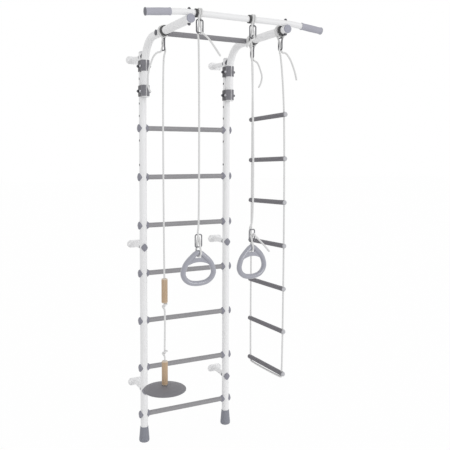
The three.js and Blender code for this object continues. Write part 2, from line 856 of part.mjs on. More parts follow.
// Each ring hangs on its own line, and the right one is turned a little on its rope
const ringSets = {
  left: {
    hanger: hangers.leftRing,
    x: leftRingX,
    top: barAxis.z - leftRingDrop,
    turn: 0,
    front: -1,
    tail: [[8, -3, -5], [32, -6, -25], [58, -8, -57], [87, -8, -94]],
    end: [[-1, 9, 14], [2, 14, 12], [6, 17, -4], [9, 18, -24]],
  },
  right: {
    hanger: hangers.rightRing,
    x: rightRingX,
    top: barAxis.z - rightRingDrop,
    turn: 10,
    front: 1,
    tail: [[-6, -3, -6], [-20, -6, -14], [-34, -8, -30], [-44, -8, -46]],
    end: [[2, -10, 13], [7, -15, 11], [26, -19, -12], [52, -20, -42], [80, -20, -75]],
  },
};

// Where a ring's rope wraps its apex: square to the ring, along it and up from the apex's axis
const ringPoint = (set, u, v, w) => {
  const turn = THREE.MathUtils.degToRad(set.turn);
  const along = at(Math.cos(turn), Math.sin(turn), 0);
  const forward = at(Math.sin(turn), -Math.cos(turn), 0);
  const apex = at(set.x, barAxis.y, set.top - ringSection / 2 + w);
  return apex.addScaledVector(along, v).addScaledVector(forward, u);
};

const ringShape = makeRing();
for (const [name, set] of Object.entries(ringSets)) {
  const linkMiddle = set.top + ringLinkAbove - linkHeight / 2;
  const link = linkShape.rotate([0, 0, set.turn]).translate([set.x, barAxis.y, linkMiddle]);
  place(`${name}_ring_link`, surface(link), looks.steel);
  const ring = ringShape.rotate([0, 0, set.turn]).translate([set.x, barAxis.y, set.top - ringSection / 2]);
  place(`${name}_gym_ring`, surface(ring), looks.ring);
}

// Down through the link, round the ring's apex and back into the link
const apexSteps = 6;

const ringLoop = (set) => {
  const top = ringLinkAbove - linkWire / 2 + ringSection / 2;
  const bottom = top - linkHeight + linkWire;
  const middle = (top + bottom) / 2;
  const wrap = (ringSection / 2 + ropeRadius + ropeGap) / Math.cos(Math.PI / 2 / apexSteps);
  const local = [
    [0, 0, top + linkWidth],
    [-passOffset * passShare, -strandOffset, top + passRise],
    [-passOffset, -strandOffset, top],
    [0, -strandOffset, middle],
    [passOffset, -strandOffset, bottom],
  ];
  for (let i = 0; i <= apexSteps; i += 1) {
    const turn = -(Math.PI * i) / apexSteps;
    local.push([wrap * Math.cos(turn), -strandOffset * Math.cos(turn), wrap * Math.sin(turn)]);
  }
  local.push(
    [-passOffset, strandOffset, bottom],
    [0, strandOffset, middle],
  );
  return local.map(([u, v, w]) => ringPoint(set, set.front * u, v, w));
};

const shifted = (list, start) => list.map(([dx, dy, dz]) => at(start.x + dx, start.y + dy, start.z + dz));

// Ring ropes: tail, winding, standing part, ring loop and loose end
for (const [name, set] of Object.entries(ringSets)) {
  const upper = hangerRoute(set.hanger);
  const lower = ringLoop(set);
  const tail = shifted(set.tail, upper[upper.length - 1]).reverse();
  const end = shifted(set.end, lower[lower.length - 1]);
  placeRope(`${name}_ring_rope`, [...tail, ...upper.reverse(), ...lower, ...end]);
}

// Disc rope: tail, winding, standing part with two knots over its handles, and the knot under the disc
const knotShares = [
  [0, 0, 1.9], [0, 0, 0.7], [0, 0.05, -0.35], [0.57, 0.05, -0.95], [1.15, 0.1, -0.4], [1.0, 0.66, 0.3],
  [0.2, 1.15, 0.75], [-0.78, 0.86, 0.85], [-1.16, 0, 0.7], [-0.8, -0.86, 0.3], [0.05, -1.18, -0.35],
  [0.4, -1.1, -1.3], [0.15, -0.5, -2.2], [0, 0, -2.9],
];
const knotEntries = 2;
const knotTopShare = Math.max(...knotShares.slice(knotEntries).map(([, , z]) => z));
const knotRise = knotTopShare * ropeDiameter + ropeRadius + fit;
const discTop = armHeight - discDrop;
const upperHandleTop = armHeight - upperHandleDrop;
const lowerHandleTop = armHeight - lowerHandleDrop;
const knotHeights = [
  upperHandleTop - handleLength - knotRise,
  armHeight - freeKnotDrop,
  discTop - discHub - knotRise,
];
const discLine = { x: hangers.disc.tube.x, y: hangers.disc.rope - strandOffset };

const discTail = [
  [-6, 0, -7], [-20, 0, -11], [-37, 0, -27], [-50, 0, -55], [-61, 0, -86], [-68, 0, -130], [-67, 0, -168],
  [-55, 0, -196],
];

const makeDiscRope = () => {
  const upper = hangerRoute(hangers.disc);
  const tail = shifted(discTail, upper[upper.length - 1]).reverse();
  const points = [...tail, ...upper.reverse()];
  for (const height of knotHeights) {
    const knot = knotShares.map(([x, y, z]) =>
      at(discLine.x + x * ropeDiameter, discLine.y + y * ropeDiameter, height + z * ropeDiameter));
    points.push(...knot);
  }
  return points;
};
placeRope("disc_swing_rope", makeDiscRope());

const makeHandle = (top) => {
  const bore = boreFor(ropeRadius, barSides);
  const outer = handleDiameter / 2;
  return turned([
    [bore, -handleLength],
    [outer - handleRound, -handleLength],
    [outer, handleRound - handleLength],
    [outer, -handleRound],
    [outer - handleRound, 0],
    [bore, 0],
    [bore, -handleLength],
  ], barSides).translate([discLine.x, discLine.y, top]);
};
place("upper_rope_handle", surface(makeHandle(upperHandleTop)), looks.wood);
place("lower_rope_handle", surface(makeHandle(lowerHandleTop)), looks.wood);

const discDomeShares = [[0.36, 0.08], [0.75, 0.45]];
const discHubShare = 0.2;

const makeDisc = () => {
  const bore = boreFor(ropeRadius, barSides);
  const rim = discDiameter / 2;
  const top = discDomeShares.map(([out, down]) => [rim * out, -discRise * down]);
  const under = top.map(([r, z]) => [r, z - discWall]).reverse();
  return turned([
    [bore, -discHub],
    [bore, 0],
    ...top,
    [rim, -discRise],
    [rim, -discRise - discWall],
    [rim - discWall, -discRise - discWall],
    ...under.slice(0, -1),
    [rim * discHubShare, -discHub],
    [bore, -discHub],
  ], discSides).translate([discLine.x, discLine.y, discTop]);
};
place("disc_seat", surface(makeDisc()), looks.disc);

// Rope ladder: one rope down one side, under the lowest rung and up the other, through every rung
const ladderX = halfSpacing;
const backLine = -crossbarDepth - ladderLineAhead;
const frontLine = ladderLineInset - armReach;
const ladderRungLength = backLine - frontLine + 2 * ladderHoleInset;
const ladderRungFirst = armHeight - ladderTopDrop - (ladderRungCount - 1) * ladderRungPitch;
const ladderPlugShare = 0.38;
const ladderPlugEdgeShare = 0.6;

const makeLadderRung = (height) => {
  const radius = ladderRungDiameter / 2;
  const plug = ladderRungDiameter * ladderPlugShare;
  const half = ladderRungLength / 2;
  const edge = half + ladderRungPlug * ladderPlugEdgeShare;
  const body = turned([
    [0, -half - ladderRungPlug],
    [plug, -edge],
    [radius, -half],
    [radius, half],
    [plug, edge],
    [0, half + ladderRungPlug],
  ], ladderRungSides).rotate([90 - ladderRungTilt, 0, 0]);
  const placed = body.translate([ladderX, (backLine + frontLine) / 2, height]);
  const bore = boreFor(ropeRadius, boltSides);
  const holes = [backLine, frontLine].map((y) =>
    rod(at(ladderX, y, height - overrun), at(ladderX, y, height + overrun), bore, boltSides));
  return trimmed(placed, ...holes);
};

const ladderRungHeights = Array.from({ length: ladderRungCount }, (_, i) =>
  ladderRungFirst + i * ladderRungPitch);
ladderRungHeights.forEach((height, i) => {
  place(`ladder_rung_${i + 1}`, surface(makeLadderRung(height)), looks.ladderRung);
});

const ropeBendShare = 0.8;
const cornerShare = 0.3;
const backTail = [[6, 0, -12], [25, 0, -22], [44, 0, -59], [53, 0, -89], [47, 0, -122], [34, 0, -147]];
const frontTail = [[7, 0, -9], [27, 0, -13], [49, 0, -36], [67, 0, -70], [80, 0, -104], [88, 0, -134]];

const makeLadderRope = () => {
  const back = hangerRoute(hangers.ladderBack);
  const front = hangerRoute(hangers.ladderFront);
  const above = ladderRungHeights[ladderRungCount - 1] + ladderRungDiameter;
  const lean = Math.sin(THREE.MathUtils.degToRad(ladderRungTilt)) * (ladderRungLength / 2);
  const bend = ropeDiameter * ropeBendShare;
  const rungBottom = ladderRungFirst - ladderRungDiameter / 2 - fit * 2;
  const backUnder = rungBottom - lean - bend;
  const frontUnder = rungBottom + lean - bend;
  const corner = bend * cornerShare;
  const down = [
    at(ladderX, backLine, above),
    at(ladderX, backLine, backUnder + bend),
    at(ladderX, backLine - corner, backUnder + corner),
    at(ladderX, backLine - bend, backUnder),
  ];
  const up = [
    at(ladderX, frontLine + bend, frontUnder),
    at(ladderX, frontLine + corner, frontUnder + corner),
    at(ladderX, frontLine, frontUnder + bend),
    at(ladderX, frontLine, above),
  ];
  const startTail = shifted(backTail, back[back.length - 1]).reverse();
  const endTail = shifted(frontTail, front[front.length - 1]);
  return [...startTail, ...back.reverse(), ...down, ...up, ...front, ...endTail];
};
placeRope("ladder_rope", makeLadderRope());

export default complex;
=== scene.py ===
"""Childrens sports complex: wall bars with a gantry, gym rings, a disc swing and a rope ladder.

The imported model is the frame: +Z is up, the wall is towards +Y, and +X runs from the left
upright to the right one as seen from the room. All lengths are in metres.
"""

import logging
import math
from dataclasses import dataclass, field
from enum import Enum
from typing import Callable, Optional, Sequence, Union

import bpy
from mathutils import Matrix, Vector


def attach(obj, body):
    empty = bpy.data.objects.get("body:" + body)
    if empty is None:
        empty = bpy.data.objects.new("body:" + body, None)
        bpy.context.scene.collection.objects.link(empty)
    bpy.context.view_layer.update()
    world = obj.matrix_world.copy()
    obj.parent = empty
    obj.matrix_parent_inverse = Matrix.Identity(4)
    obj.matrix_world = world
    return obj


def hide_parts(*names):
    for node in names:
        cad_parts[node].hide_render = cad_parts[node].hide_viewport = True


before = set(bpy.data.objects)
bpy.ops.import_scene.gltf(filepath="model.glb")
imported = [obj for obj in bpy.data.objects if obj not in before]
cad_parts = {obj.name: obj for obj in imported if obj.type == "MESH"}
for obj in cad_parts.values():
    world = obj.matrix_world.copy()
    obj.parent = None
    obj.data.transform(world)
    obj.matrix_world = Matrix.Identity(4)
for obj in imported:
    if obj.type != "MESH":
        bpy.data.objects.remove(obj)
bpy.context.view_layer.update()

log = logging.getLogger("sports_complex")

Point = tuple[float, float, float]
Profile = Sequence[tuple[float, float]]
Color = tuple[int, int, int]
Shade = tuple[float, float, float, float]
Piece = bpy.types.Object


# ---------------------------------------------------------------- shared sizes


class Side(Enum):
    """The two sides of the frame, as seen from the room."""

    LEFT = -1
    RIGHT = 1

    @property
    def word(self) -> str:
        """The side's name as the nodes use it."""
        return self.name.lower()


class Along(Enum):
    """The axis that a hanger's tube follows."""

    X = "x"
    Y = "y"


@dataclass(frozen=True)
class Plan:
    """Sizes that several sub-assemblies share."""

    half_spacing: float = 0.240
    tube_radius: float = 0.019
    tube_wall: float = 0.0015
    fit: float = 0.0003
    rung_first: float = 0.1465
    rung_pitch: float = 0.250
    rung_count: int = 7
    hole_pitch: float = 0.0625
    arm_setback: float = 0.0386
    arm_height: float = 2.086
    arm_reach: float = 0.608
    bend_radius: float = 0.125
    bar_depth: float = 0.591
    bar_rise: float = 0.028
    bar_radius: float = 0.0135
    rope_radius: float = 0.0045

    @property
    def bar_height(self) -> float:
        """Height of the pull-up bar's axis."""
        return self.arm_height + self.bar_rise

    @property
    def top_rung(self) -> float:
        """Height of the highest wall bar."""
        return self.rung_first + self.rung_pitch * (self.rung_count - 1)

    def post_x(self, side: Side) -> float:
        """Where an upright stands along X."""
        return side.value * self.half_spacing


PLAN = Plan()
FRAME_BODY = "frame"
UP: Point = (0, 0, 1)
RIGHT: Point = (1, 0, 0)
WHITE: Shade = (1.0, 1.0, 1.0, 1.0)
FINE = 64  # sides of the round pieces that are seen closely
DOMED = 50.0  # degrees up to which a domed piece is shaded smooth
STRAIGHT = 0.9999  # from here on a direction counts as straight up or down
SAME_PLACE = 1e-7
NO_LENGTH = 1e-6
MILLIMETRES = 1000


# ---------------------------------------------------------------- shader maths


def linear(color: Color, shade: float = 1.0) -> Shade:
    """Turn a colour from 0 to 255 into the shader's linear values.

    Args:
        color: Red, green and blue as a screen shows them.
        shade: A factor on all three.

    Returns:
        Linear red, green, blue and an alpha of one.
    """
    values = [min(1.0, channel / 255 * shade) for channel in color]
    curved = [v / 12.92 if v <= 0.04045 else ((v + 0.055) / 1.055) ** 2.4 for v in values]
    return (curved[0], curved[1], curved[2], 1.0)


class Term:
    """A shader socket that takes part in Python expressions."""

    def __init__(self, tree: "Tree", socket: bpy.types.NodeSocket) -> None:
        """Wrap a socket of a tree."""
        self.tree = tree
        self.socket = socket

    def _math(self, operation: str, first: "Number", second: "Number") -> "Term":
        """Add one Math node and return its result."""
        node = self.tree.node("ShaderNodeMath", {"operation": operation}, {0: first, 1: second})
        return Term(self.tree, node.outputs[0])

    def __add__(self, other: "Number") -> "Term":
        """Sum."""
        return self._math("ADD", self, other)

    __radd__ = __add__

    def __sub__(self, other: "Number") -> "Term":
        """Difference."""
        return self._math("SUBTRACT", self, other)

    def __rsub__(self, other: "Number") -> "Term":
        """Difference from a number."""
        return self._math("SUBTRACT", other, self)

    def __mul__(self, other: "Number") -> "Term":
        """Product."""
        return self._math("MULTIPLY", self, other)

    __rmul__ = __mul__

    def __pow__(self, other: "Number") -> "Term":
        """Power."""
        return self._math("POWER", self, other)

    def above(self, limit: float) -> "Term":
        """One where the value is over the limit, else zero."""
        return self._math("GREATER_THAN", self, limit)

    def sine(self) -> "Term":
        """Sine of the value in radians."""
        return self._math("SINE", self, 0.0)

    def size(self) -> "Term":
        """Value without its sign."""
        return self._math("ABSOLUTE", self, 0.0)


Number = Union[float, Term]


class Tree:
    """The node tree of a material or of the world, whose nodes are all added in one way."""

    def __init__(self, owner: bpy.types.ID, output: str) -> None:
        """Empty the owner's tree but for a new output.

        Args:
            owner: The material or world.
            output: The output node's type.
        """
        owner.use_nodes = True
        self.nodes = owner.node_tree.nodes
        self.links = owner.node_tree.links
        self.nodes.clear()
        self.output = self.node(output, {}, {})

    def node(self, kind: str, settings: dict, inputs: dict) -> bpy.types.Node:
        """Add a node, then set it up and feed it.

        Args:
            kind: The node's type.
            settings: Properties, which are set first.
            inputs: Values, terms or sockets by the socket's name or number.

        Returns:
            The new node.
        """
        made = self.nodes.new(kind)
        for key, value in settings.items():
            setattr(made, key, value)
        for key, value in inputs.items():
            self.feed(made.inputs[key], value)
        return made

    def feed(self, socket: bpy.types.NodeSocket, value: object) -> None:
        """Link or set one socket.

        Args:
            socket: The socket to feed.
            value: A term or another socket to link, or the value to set.
        """
        if isinstance(value, Term):
            value = value.socket
        if isinstance(value, bpy.types.NodeSocket):
            self.links.new(value, socket)
        else:
            socket.default_value = value

    def seen(self) -> Term:
        """One for rays from the camera, from gloss and through glass, else zero.

        Returns:
            The mask.
        """
        path = self.node("ShaderNodeLightPath", {}, {})
        rays = [Term(self, path.outputs[f"Is {kind} Ray"]) for kind in ("Camera", "Glossy", "Transmission")]
        return (rays[0] + rays[1] + rays[2]).above(0.5)

    def surface(self, mask: Number, first: bpy.types.Node, second: bpy.types.Node) -> None:
        """Show one shader where the mask is zero and another where it is one."""
        made = self.node("ShaderNodeMixShader", {}, {0: mask, 1: first.outputs[0], 2: second.outputs[0]})
        self.feed(self.output.inputs["Surface"], made.outputs[0])


class Graph(Tree):
    """A material's node tree with one Principled shader."""

    def __init__(self, name: str) -> None:
        """Start an empty material.

        Args:
            name: The material's name.
        """
        self.material = bpy.data.materials.new(name)
        super().__init__(self.material, "ShaderNodeOutputMaterial")
        self.shader = self.node("ShaderNodeBsdfPrincipled", {}, {})
        self.feed(self.output.inputs["Surface"], self.shader.outputs[0])

    def set(self, **inputs: object) -> None:
        """Feed the Principled shader's sockets, with _ for a space in a name."""
        for key, value in inputs.items():
            self.feed(self.shader.inputs[key.replace("_", " ")], value)

    def place(self) -> bpy.types.NodeSocket:
        """Object coordinates, in metres."""
        return self.node("ShaderNodeTexCoord", {}, {}).outputs["Object"]

    def axes(self, vector: bpy.types.NodeSocket) -> tuple[Term, Term, Term]:
        """Split a vector into its three values."""
        parts = self.node("ShaderNodeSeparateXYZ", {}, {0: vector})
        return tuple(Term(self, parts.outputs[i]) for i in range(3))

    def noise(self, vector: object, scale: float, detail: float = 2.0,
              stretch: Point = (1.0, 1.0, 1.0)) -> Term:
        """Noise over a place, stretched along the axes.

        Args:
            vector: The coordinates.
            scale: Cycles in a metre.
            detail: Layers of finer noise.
            stretch: Factors on the coordinates.

        Returns:
            The noise value.
        """
        scaled = self.node("ShaderNodeMapping", {}, {"Vector": vector, "Scale": stretch}).outputs[0]
        made = self.node("ShaderNodeTexNoise", {}, {"Vector": scaled, "Scale": scale, "Detail": detail})
        return Term(self, made.outputs["Fac"])

    def attribute(self, name: str) -> Term:
        """A value that is kept in the piece's mesh."""
        return Term(self, self.node("ShaderNodeAttribute", {"attribute_name": name}, {}).outputs["Fac"])

    def mix(self, mask: Number, first: object, second: object) -> bpy.types.NodeSocket:
        """Blend two colours by a mask."""
        made = self.node("ShaderNodeMix", {"data_type": "RGBA"}, {0: mask, 6: first, 7: second})
        return made.outputs[2]

    def bump(self, height: Term, depth: float) -> None:
        """Raise the surface by a height from zero to one times a real depth in metres."""
        made = self.node("ShaderNodeBump", {}, {"Height": height, "Distance": depth, "Strength": 1.0})
        self.set(Normal=made.outputs[0])


# ---------------------------------------------------------------- finishes


class Relief(Enum):
    """The fine surface of a coat: cycles in a metre and depth in metres."""

    ORANGE_PEEL = (520.0, 0.00006)
    MOULD_GRAIN = (1500.0, 0.00010)
    SOFT_PORES = (2600.0, 0.00018)
    CAST = (900.0, 0.00012)

    @property
    def pitch(self) -> float:
        """Cycles in a metre."""
        return self.value[0]

    @property
    def depth(self) -> float:
        """Depth in metres."""
        return self.value[1]


@dataclass(frozen=True)
class Coat:
    """Paint, plastic or rubber with a fine relief and a slight change of tone."""

    name: str
    slot: str
    color: Color
    roughness: float
    relief: Relief
    tone: float = 0.03
    coat: float = 0.0
    # a darker colour painted where a piece is marked, as painted shade
    marked: Optional[Color] = None
    shine: float = 0.5
    clouds: float = 9.0
    coat_roughness: float = 0.15

    def material(self) -> bpy.types.Material:
        """Build the node material, with a darker colour painted as shade where a piece is marked.

        Returns:
            The material.
        """
        graph = Graph(self.name)
        place = graph.place()
        cloud = graph.noise(place, self.clouds, 5.0)
        speck = graph.noise(place, self.relief.pitch / 4)
        fine = graph.noise(place, self.relief.pitch)
        mask = cloud * 0.7 + speck * 0.3
        base = graph.mix(mask, linear(self.color, 1 - self.tone), linear(self.color, 1 + self.tone))
        if self.marked is not None:
            base = graph.mix(graph.attribute("mark"), base, linear(self.marked))
        graph.set(
            Base_Color=base,
            Roughness=(cloud - 0.5) * 0.12 + (fine - 0.5) * 0.05 + self.roughness,
            Coat_Weight=self.coat,
            Coat_Roughness=self.coat_roughness,
            Specular_IOR_Level=self.shine,
        )
        graph.bump(fine + speck * 0.4, self.relief.depth)
        return graph.material


@dataclass(frozen=True)
class Wood:
    """Lathe-turned birch with its grain along Z."""

    name: str
    slot: str
    light: Color = (219, 201, 177)
    dark: Color = (177, 147, 114)
    end: Color = (212, 198, 181)

    def material(self) -> bpy.types.Material:
        """Build the node material.

        Returns:
            The material.
        """
        graph = Graph(self.name)
        place = graph.place()
        warp = graph.noise(place, 30.0, 3.0, (1.0, 1.0, 0.15))
        grain = graph.noise(place, 420.0, 4.0, (1.0, 1.0, 0.035))
        pores = graph.noise(place, 1700.0, 2.0, (1.0, 1.0, 0.06))
        streak = (grain * 0.75 + warp * 0.55 - 0.2) ** 1.6
        side = graph.mix(streak, linear(self.dark), linear(self.light))
        base = graph.mix(graph.attribute("mark"), side, linear(self.end))
        graph.set(
            Base_Color=graph.mix(pores.above(0.66) * 0.35, base, linear(self.dark, 0.85)),
            Roughness=grain * 0.18 + 0.42,
        )
        graph.bump(grain * 0.5 + pores * 0.5, 0.00015)
        return graph.material


@dataclass(frozen=True)
class CordCover:
    """Plaited cord, whose yarns follow the rope's own UV map."""

    name: str
    slot: str
    color: Color = (229, 229, 229)
    yarns: float = 46.0
    yarn_pitch: float = 0.0011

    def material(self) -> bpy.types.Material:
        """Build the node material.

        Returns:
            The material.
        """
        graph = Graph(self.name)
        flow = graph.node("ShaderNodeUVMap", {"uv_map": "route"}, {}).outputs[0]
        along, round_it, _ = graph.axes(flow)
        place = graph.place()
        lay = (along * (2 * math.pi / self.yarn_pitch) + round_it * self.yarns).sine()
        counter = (along * (2 * math.pi / self.yarn_pitch) - round_it * self.yarns).sine()
        yarn = lay.size() * 0.5 + counter.size() * 0.5
        groove_shade_mask = graph.attribute("plait")
        fuzz = graph.noise(place, 2200.0, 3.0)
        # painted shade: darker in the grooves between the strands and between the yarns, with a random fuzz tone
        shade = groove_shade_mask * 0.65 + yarn * 0.2 + fuzz * 0.15
        graph.set(
            Base_Color=graph.mix(shade, linear(self.color, 0.86), linear(self.color, 1.05)),
            Roughness=fuzz * 0.15 + 0.78,
        )
        graph.bump(yarn * 0.7 + fuzz * 0.5, 0.00025)
        return graph.material


@dataclass(frozen=True)
class Steel:
    """Drawn steel wire or a zinc-plated bolt."""

    name: str
    slot: str
    color: Color
    roughness: float = 0.3
    metallic: float = 1.0

    def material(self) -> bpy.types.Material:
        """Build the node material.

        Returns:
            The material.
        """
        graph = Graph(self.name)
        place = graph.place()
        cloud = graph.noise(place, 60.0, 4.0)
        scratch = graph.noise(place, 900.0, 3.0, (1.0, 1.0, 0.08))
        graph.set(
            Base_Color=graph.mix(cloud, linear(self.color, 0.88), linear(self.color, 1.08)),
            Metallic=self.metallic,
            Roughness=cloud * 0.14 + scratch * 0.1 + (self.roughness - 0.12),
        )
        graph.bump(scratch, 0.00004)
        return graph.material


class Paint(Enum):
    """Every finish of the object."""

    # inside the bore and the holes the tube is near-black (30, 30, 32): bare steel, darkened further as painted
    # shade
    TUBE = Coat("white_enamel", "white_paint", (239, 239, 240), 0.46, Relief.ORANGE_PEEL, 0.01,
                marked=(30, 30, 32))
    PLUG = Coat("pale_plug", "white_paint", (220, 220, 223), 0.5, Relief.MOULD_GRAIN)
    RUNG = Coat("rung_cover", "rung_grey", (152, 151, 154), 0.38, Relief.MOULD_GRAIN, shine=0.25)
    PAD = Coat("saddle_pad", "rung_grey", (138, 138, 148), 0.5, Relief.MOULD_GRAIN)
    FOOT = Coat("boot_rubber", "foot_rubber", (136, 138, 147), 0.68, Relief.CAST, 0.05)
    # the back part of each clamp half, round the upright, is painted darker (72, 71, 76) as painted shade
    CLAMP = Coat("clamp_moulding", "clamp_grey", (124, 123, 129), 0.5, Relief.CAST, 0.05,
                 marked=(72, 71, 76))
    CROSSBAR = Coat("crossbar_cover", "rung_grey", (142, 141, 145), 0.42, Relief.MOULD_GRAIN, shine=0.1)
    # the pad moulding painted darker as painted shade, for the crossbar caps, the washers behind the uprights and
    # the top brackets' caps
    DARK_PAD = Coat("dark_pad", "rung_grey", (96, 96, 102), 0.5, Relief.MOULD_GRAIN)
    END_PLUG = Coat("arm_end_plug", "rung_grey", (160, 161, 173), 0.45, Relief.MOULD_GRAIN)
    # the grip's closed outer end is painted darker (122, 122, 130) as painted shade
    GRIP = Coat("grip_foam", "grip_foam", (174, 174, 184), 0.82, Relief.SOFT_PORES, 0.05,
                marked=(122, 122, 130))
    SLEEVE = Coat("sleeve_rubber", "sleeve_rubber", (78, 78, 79), 0.7, Relief.CAST, 0.08)
    RING = Coat("ring_moulding", "ring_plastic", (157, 158, 168), 0.28, Relief.MOULD_GRAIN, coat=1.0)
    DISC = Coat("disc_moulding", "disc_plastic", (124, 123, 128), 0.55, Relief.CAST, 0.04)
    LADDER = Coat("ladder_rung_cover", "ladder_rung_grey", (119, 117, 122), 0.46, Relief.MOULD_GRAIN, 0.04,
                  shine=0.2)
    LADDER_PLUG = Coat("ladder_rung_plug", "ladder_rung_grey", (186, 186, 190), 0.45, Relief.MOULD_GRAIN)
    WOOD = Wood("turned_birch", "handle_wood")
    CORD = CordCover("plaited_cord", "rope")
    # the hanger links are painted darker than the same wire on the rings, as painted shade under the sleeves
    LINK = Steel("link_wire", "link_steel", (98, 98, 102), 0.4)
    RING_LINK = Steel("ring_link_wire", "link_steel", (136, 136, 140), 0.4)
    BOLT = Steel("bolt_zinc", "link_steel", (104, 104, 110), 0.4)
    # the same zinc as the bolts painted lighter, as a painted highlight on one head
    BRIGHT = Steel("bolt_bright", "link_steel", (190, 190, 194), 0.4)

    @property
    def slot(self) -> str:
        """The record's material slot."""
        return self.value.slot


class Paints:
    """Builds each material once."""

    def __init__(self) -> None:
        """Start with none."""
        self.made: dict[Paint, bpy.types.Material] = {}

    def get(self, paint: Paint) -> bpy.types.Material:
        """The material of a finish.

        Args:
            paint: The finish.

        Returns:
            Its material, the same one each time.
        """
        if paint not in self.made:
            self.made[paint] = paint.value.material()
        return self.made[paint]


# ---------------------------------------------------------------- modelling tools


def scaled(shares: Profile, radius: float, rise: float, low: float = 0.0) -> list[tuple[float, float]]:
    """Turn shares of a radius and of a rise over a low height into a profile."""
    return [(radius * across, low + rise * up) for across, up in shares]


DOME_SHARES = ((0, 0.558), (1, 0.558), (1, 0.62), (0.9, 0.84), (0.6, 0.97), (0, 1))


class Bench:
    """Hand tools on Blender's operators, for pieces that start at the origin along +Z."""

    @staticmethod
    def clear() -> None:
        """Leave edit mode and deselect everything."""
        if bpy.context.object is not None and bpy.context.object.mode != "OBJECT":
            bpy.ops.object.mode_set(mode="OBJECT")
        bpy.ops.object.select_all(action="DESELECT")

    @staticmethod
    def pick(*pieces: Piece) -> None:
        """Select pieces and make the first one active.

        Args:
            pieces: The pieces.
        """
        Bench.clear()
        for piece in pieces:
            piece.select_set(True)
        bpy.context.view_layer.objects.active = pieces[0]

    @staticmethod
    def edit(piece: Piece) -> None:
        """Enter edit mode on a piece with all of it selected.

        Args:
            piece: The piece.
        """
        Bench.pick(piece)
        bpy.ops.object.mode_set(mode="EDIT")
        bpy.ops.mesh.select_mode(type="VERT")
        bpy.ops.mesh.select_all(action="SELECT")

    @staticmethod
    def outward() -> None:
        """Turn all faces outward, and go back to object mode."""
        bpy.ops.mesh.select_all(action="SELECT")
        bpy.ops.mesh.normals_make_consistent(inside=False)
        bpy.ops.object.mode_set(mode="OBJECT")

    @staticmethod
    def weld() -> None:
        """Merge the points that share a place, turn the faces outward and go back to object mode."""
        bpy.ops.mesh.select_all(action="SELECT")
        bpy.ops.mesh.remove_doubles(threshold=SAME_PLACE)
        Bench.outward()

    @staticmethod
    def choose(piece: Piece, chosen: Callable[[Vector], bool]) -> None:
        """Enter edit mode on a piece with only the chosen points selected.

        Args:
            piece: The piece.
            chosen: Whether a point is selected.
        """
        Bench.edit(piece)
        bpy.ops.mesh.select_all(action="DESELECT")
        Bench.clear()
        for vertex in piece.data.vertices:
            vertex.select = chosen(vertex.co)
        bpy.ops.object.mode_set(mode="EDIT")

    @staticmethod
    def rise(by: float, grow: float = 1.0, level: float = 0.0) -> None:
        """Extrude what is selected along Z and scale it about the axis at its new level.

        Args:
            by: How far to extrude.
            grow: Factor on the size.
            level: Height of the point that the scaling keeps.
        """
        bpy.ops.mesh.extrude_region_move(TRANSFORM_OT_translate={"value": (0, 0, by)})
        if grow != 1.0:
            bpy.ops.transform.resize(value=(grow, grow, 1), center_override=(0, 0, level))

    @staticmethod
    def open_edges() -> None:
        """Select the open edges only."""
        bpy.ops.mesh.select_all(action="DESELECT")
        bpy.ops.mesh.select_non_manifold()

    @staticmethod
    def turned(profile: Profile, sides: int = 48, bored: bool = False, shade: float = 0.0) -> Piece:
        """Turn a body on the lathe: a circle extruded and scaled from step to step.

        Args:
            profile: Radius and height of each step; a radius of zero closes an end.
            sides: Sides of the circle.
            bored: Whether the last step meets the first one, round a bore.
            shade: Angle in degrees up to which it is shaded smooth, or zero to leave it.

        Returns:
            The new piece, along +Z.
        """
        steps = list(profile)
        closed_start, closed_end = steps[0][0] == 0, steps[-1][0] == 0
        ring = steps[1:] if closed_start else steps
        ring = ring[:-1] if closed_end else ring
        Bench.clear()
        radius, height = ring[0]
        bpy.ops.mesh.primitive_circle_add(vertices=sides, radius=radius, location=(0, 0, height))
        piece = bpy.context.object
        bpy.ops.object.transform_apply(location=True, rotation=False, scale=False)
        Bench.edit(piece)
        for next_radius, next_height in ring[1:]:
            Bench.rise(next_height - height, next_radius / radius, next_height)
            radius, height = next_radius, next_height
        if bored:
            Bench.open_edges()
            bpy.ops.mesh.bridge_edge_loops()
        if closed_end:
            Bench.rise(steps[-1][1] - height)
            bpy.ops.mesh.merge(type="CENTER")
        if closed_start:
            Bench.open_edges()
            Bench.rise(steps[0][1] - ring[0][1])
            bpy.ops.mesh.merge(type="CENTER")
        Bench.weld()
        if shade:
            Bench.smooth(piece, shade)
        return piece

    @staticmethod
    def swept(points: Sequence[Vector], radius: float, sides: int = 24, closed: bool = False) -> Piece:
        """Bend a round bar along a line of points, with filled ends.

        Args:
            points: The bar's centre line.
            radius: The bar's radius.
            sides: Sides of its section.
            closed: Whether the line is a loop.

        Returns:
            The new piece, where its line lies.
        """
        line = bpy.data.curves.new("bar_line", "CURVE")
        line.dimensions = "3D"
        line.bevel_depth = radius
        line.bevel_resolution = sides // 4 - 1
        line.use_fill_caps = not closed
        spline = line.splines.new("POLY")
        spline.points.add(len(points) - 1)
        for spot, point in zip(spline.points, points):
            spot.co = (*point, 1)
        spline.use_cyclic_u = closed
        piece = bpy.data.objects.new("bar", line)
        bpy.context.collection.objects.link(piece)
        Bench.pick(piece)
        bpy.ops.object.convert(target="MESH")
        piece = bpy.context.object
        Bench.edit(piece)
        Bench.weld()
        return piece

    @staticmethod
    def apply(piece: Piece, kind: str, **settings: object) -> None:
        """Add a modifier, set it and apply it.

        Args:
            piece: The piece.
            kind: The modifier's type.
            settings: The modifier's properties.
        """
        modifier = piece.modifiers.new("work", kind)
        for key, value in settings.items():
            setattr(modifier, key, value)
        Bench.pick(piece)
        bpy.ops.object.modifier_apply(modifier=modifier.name)

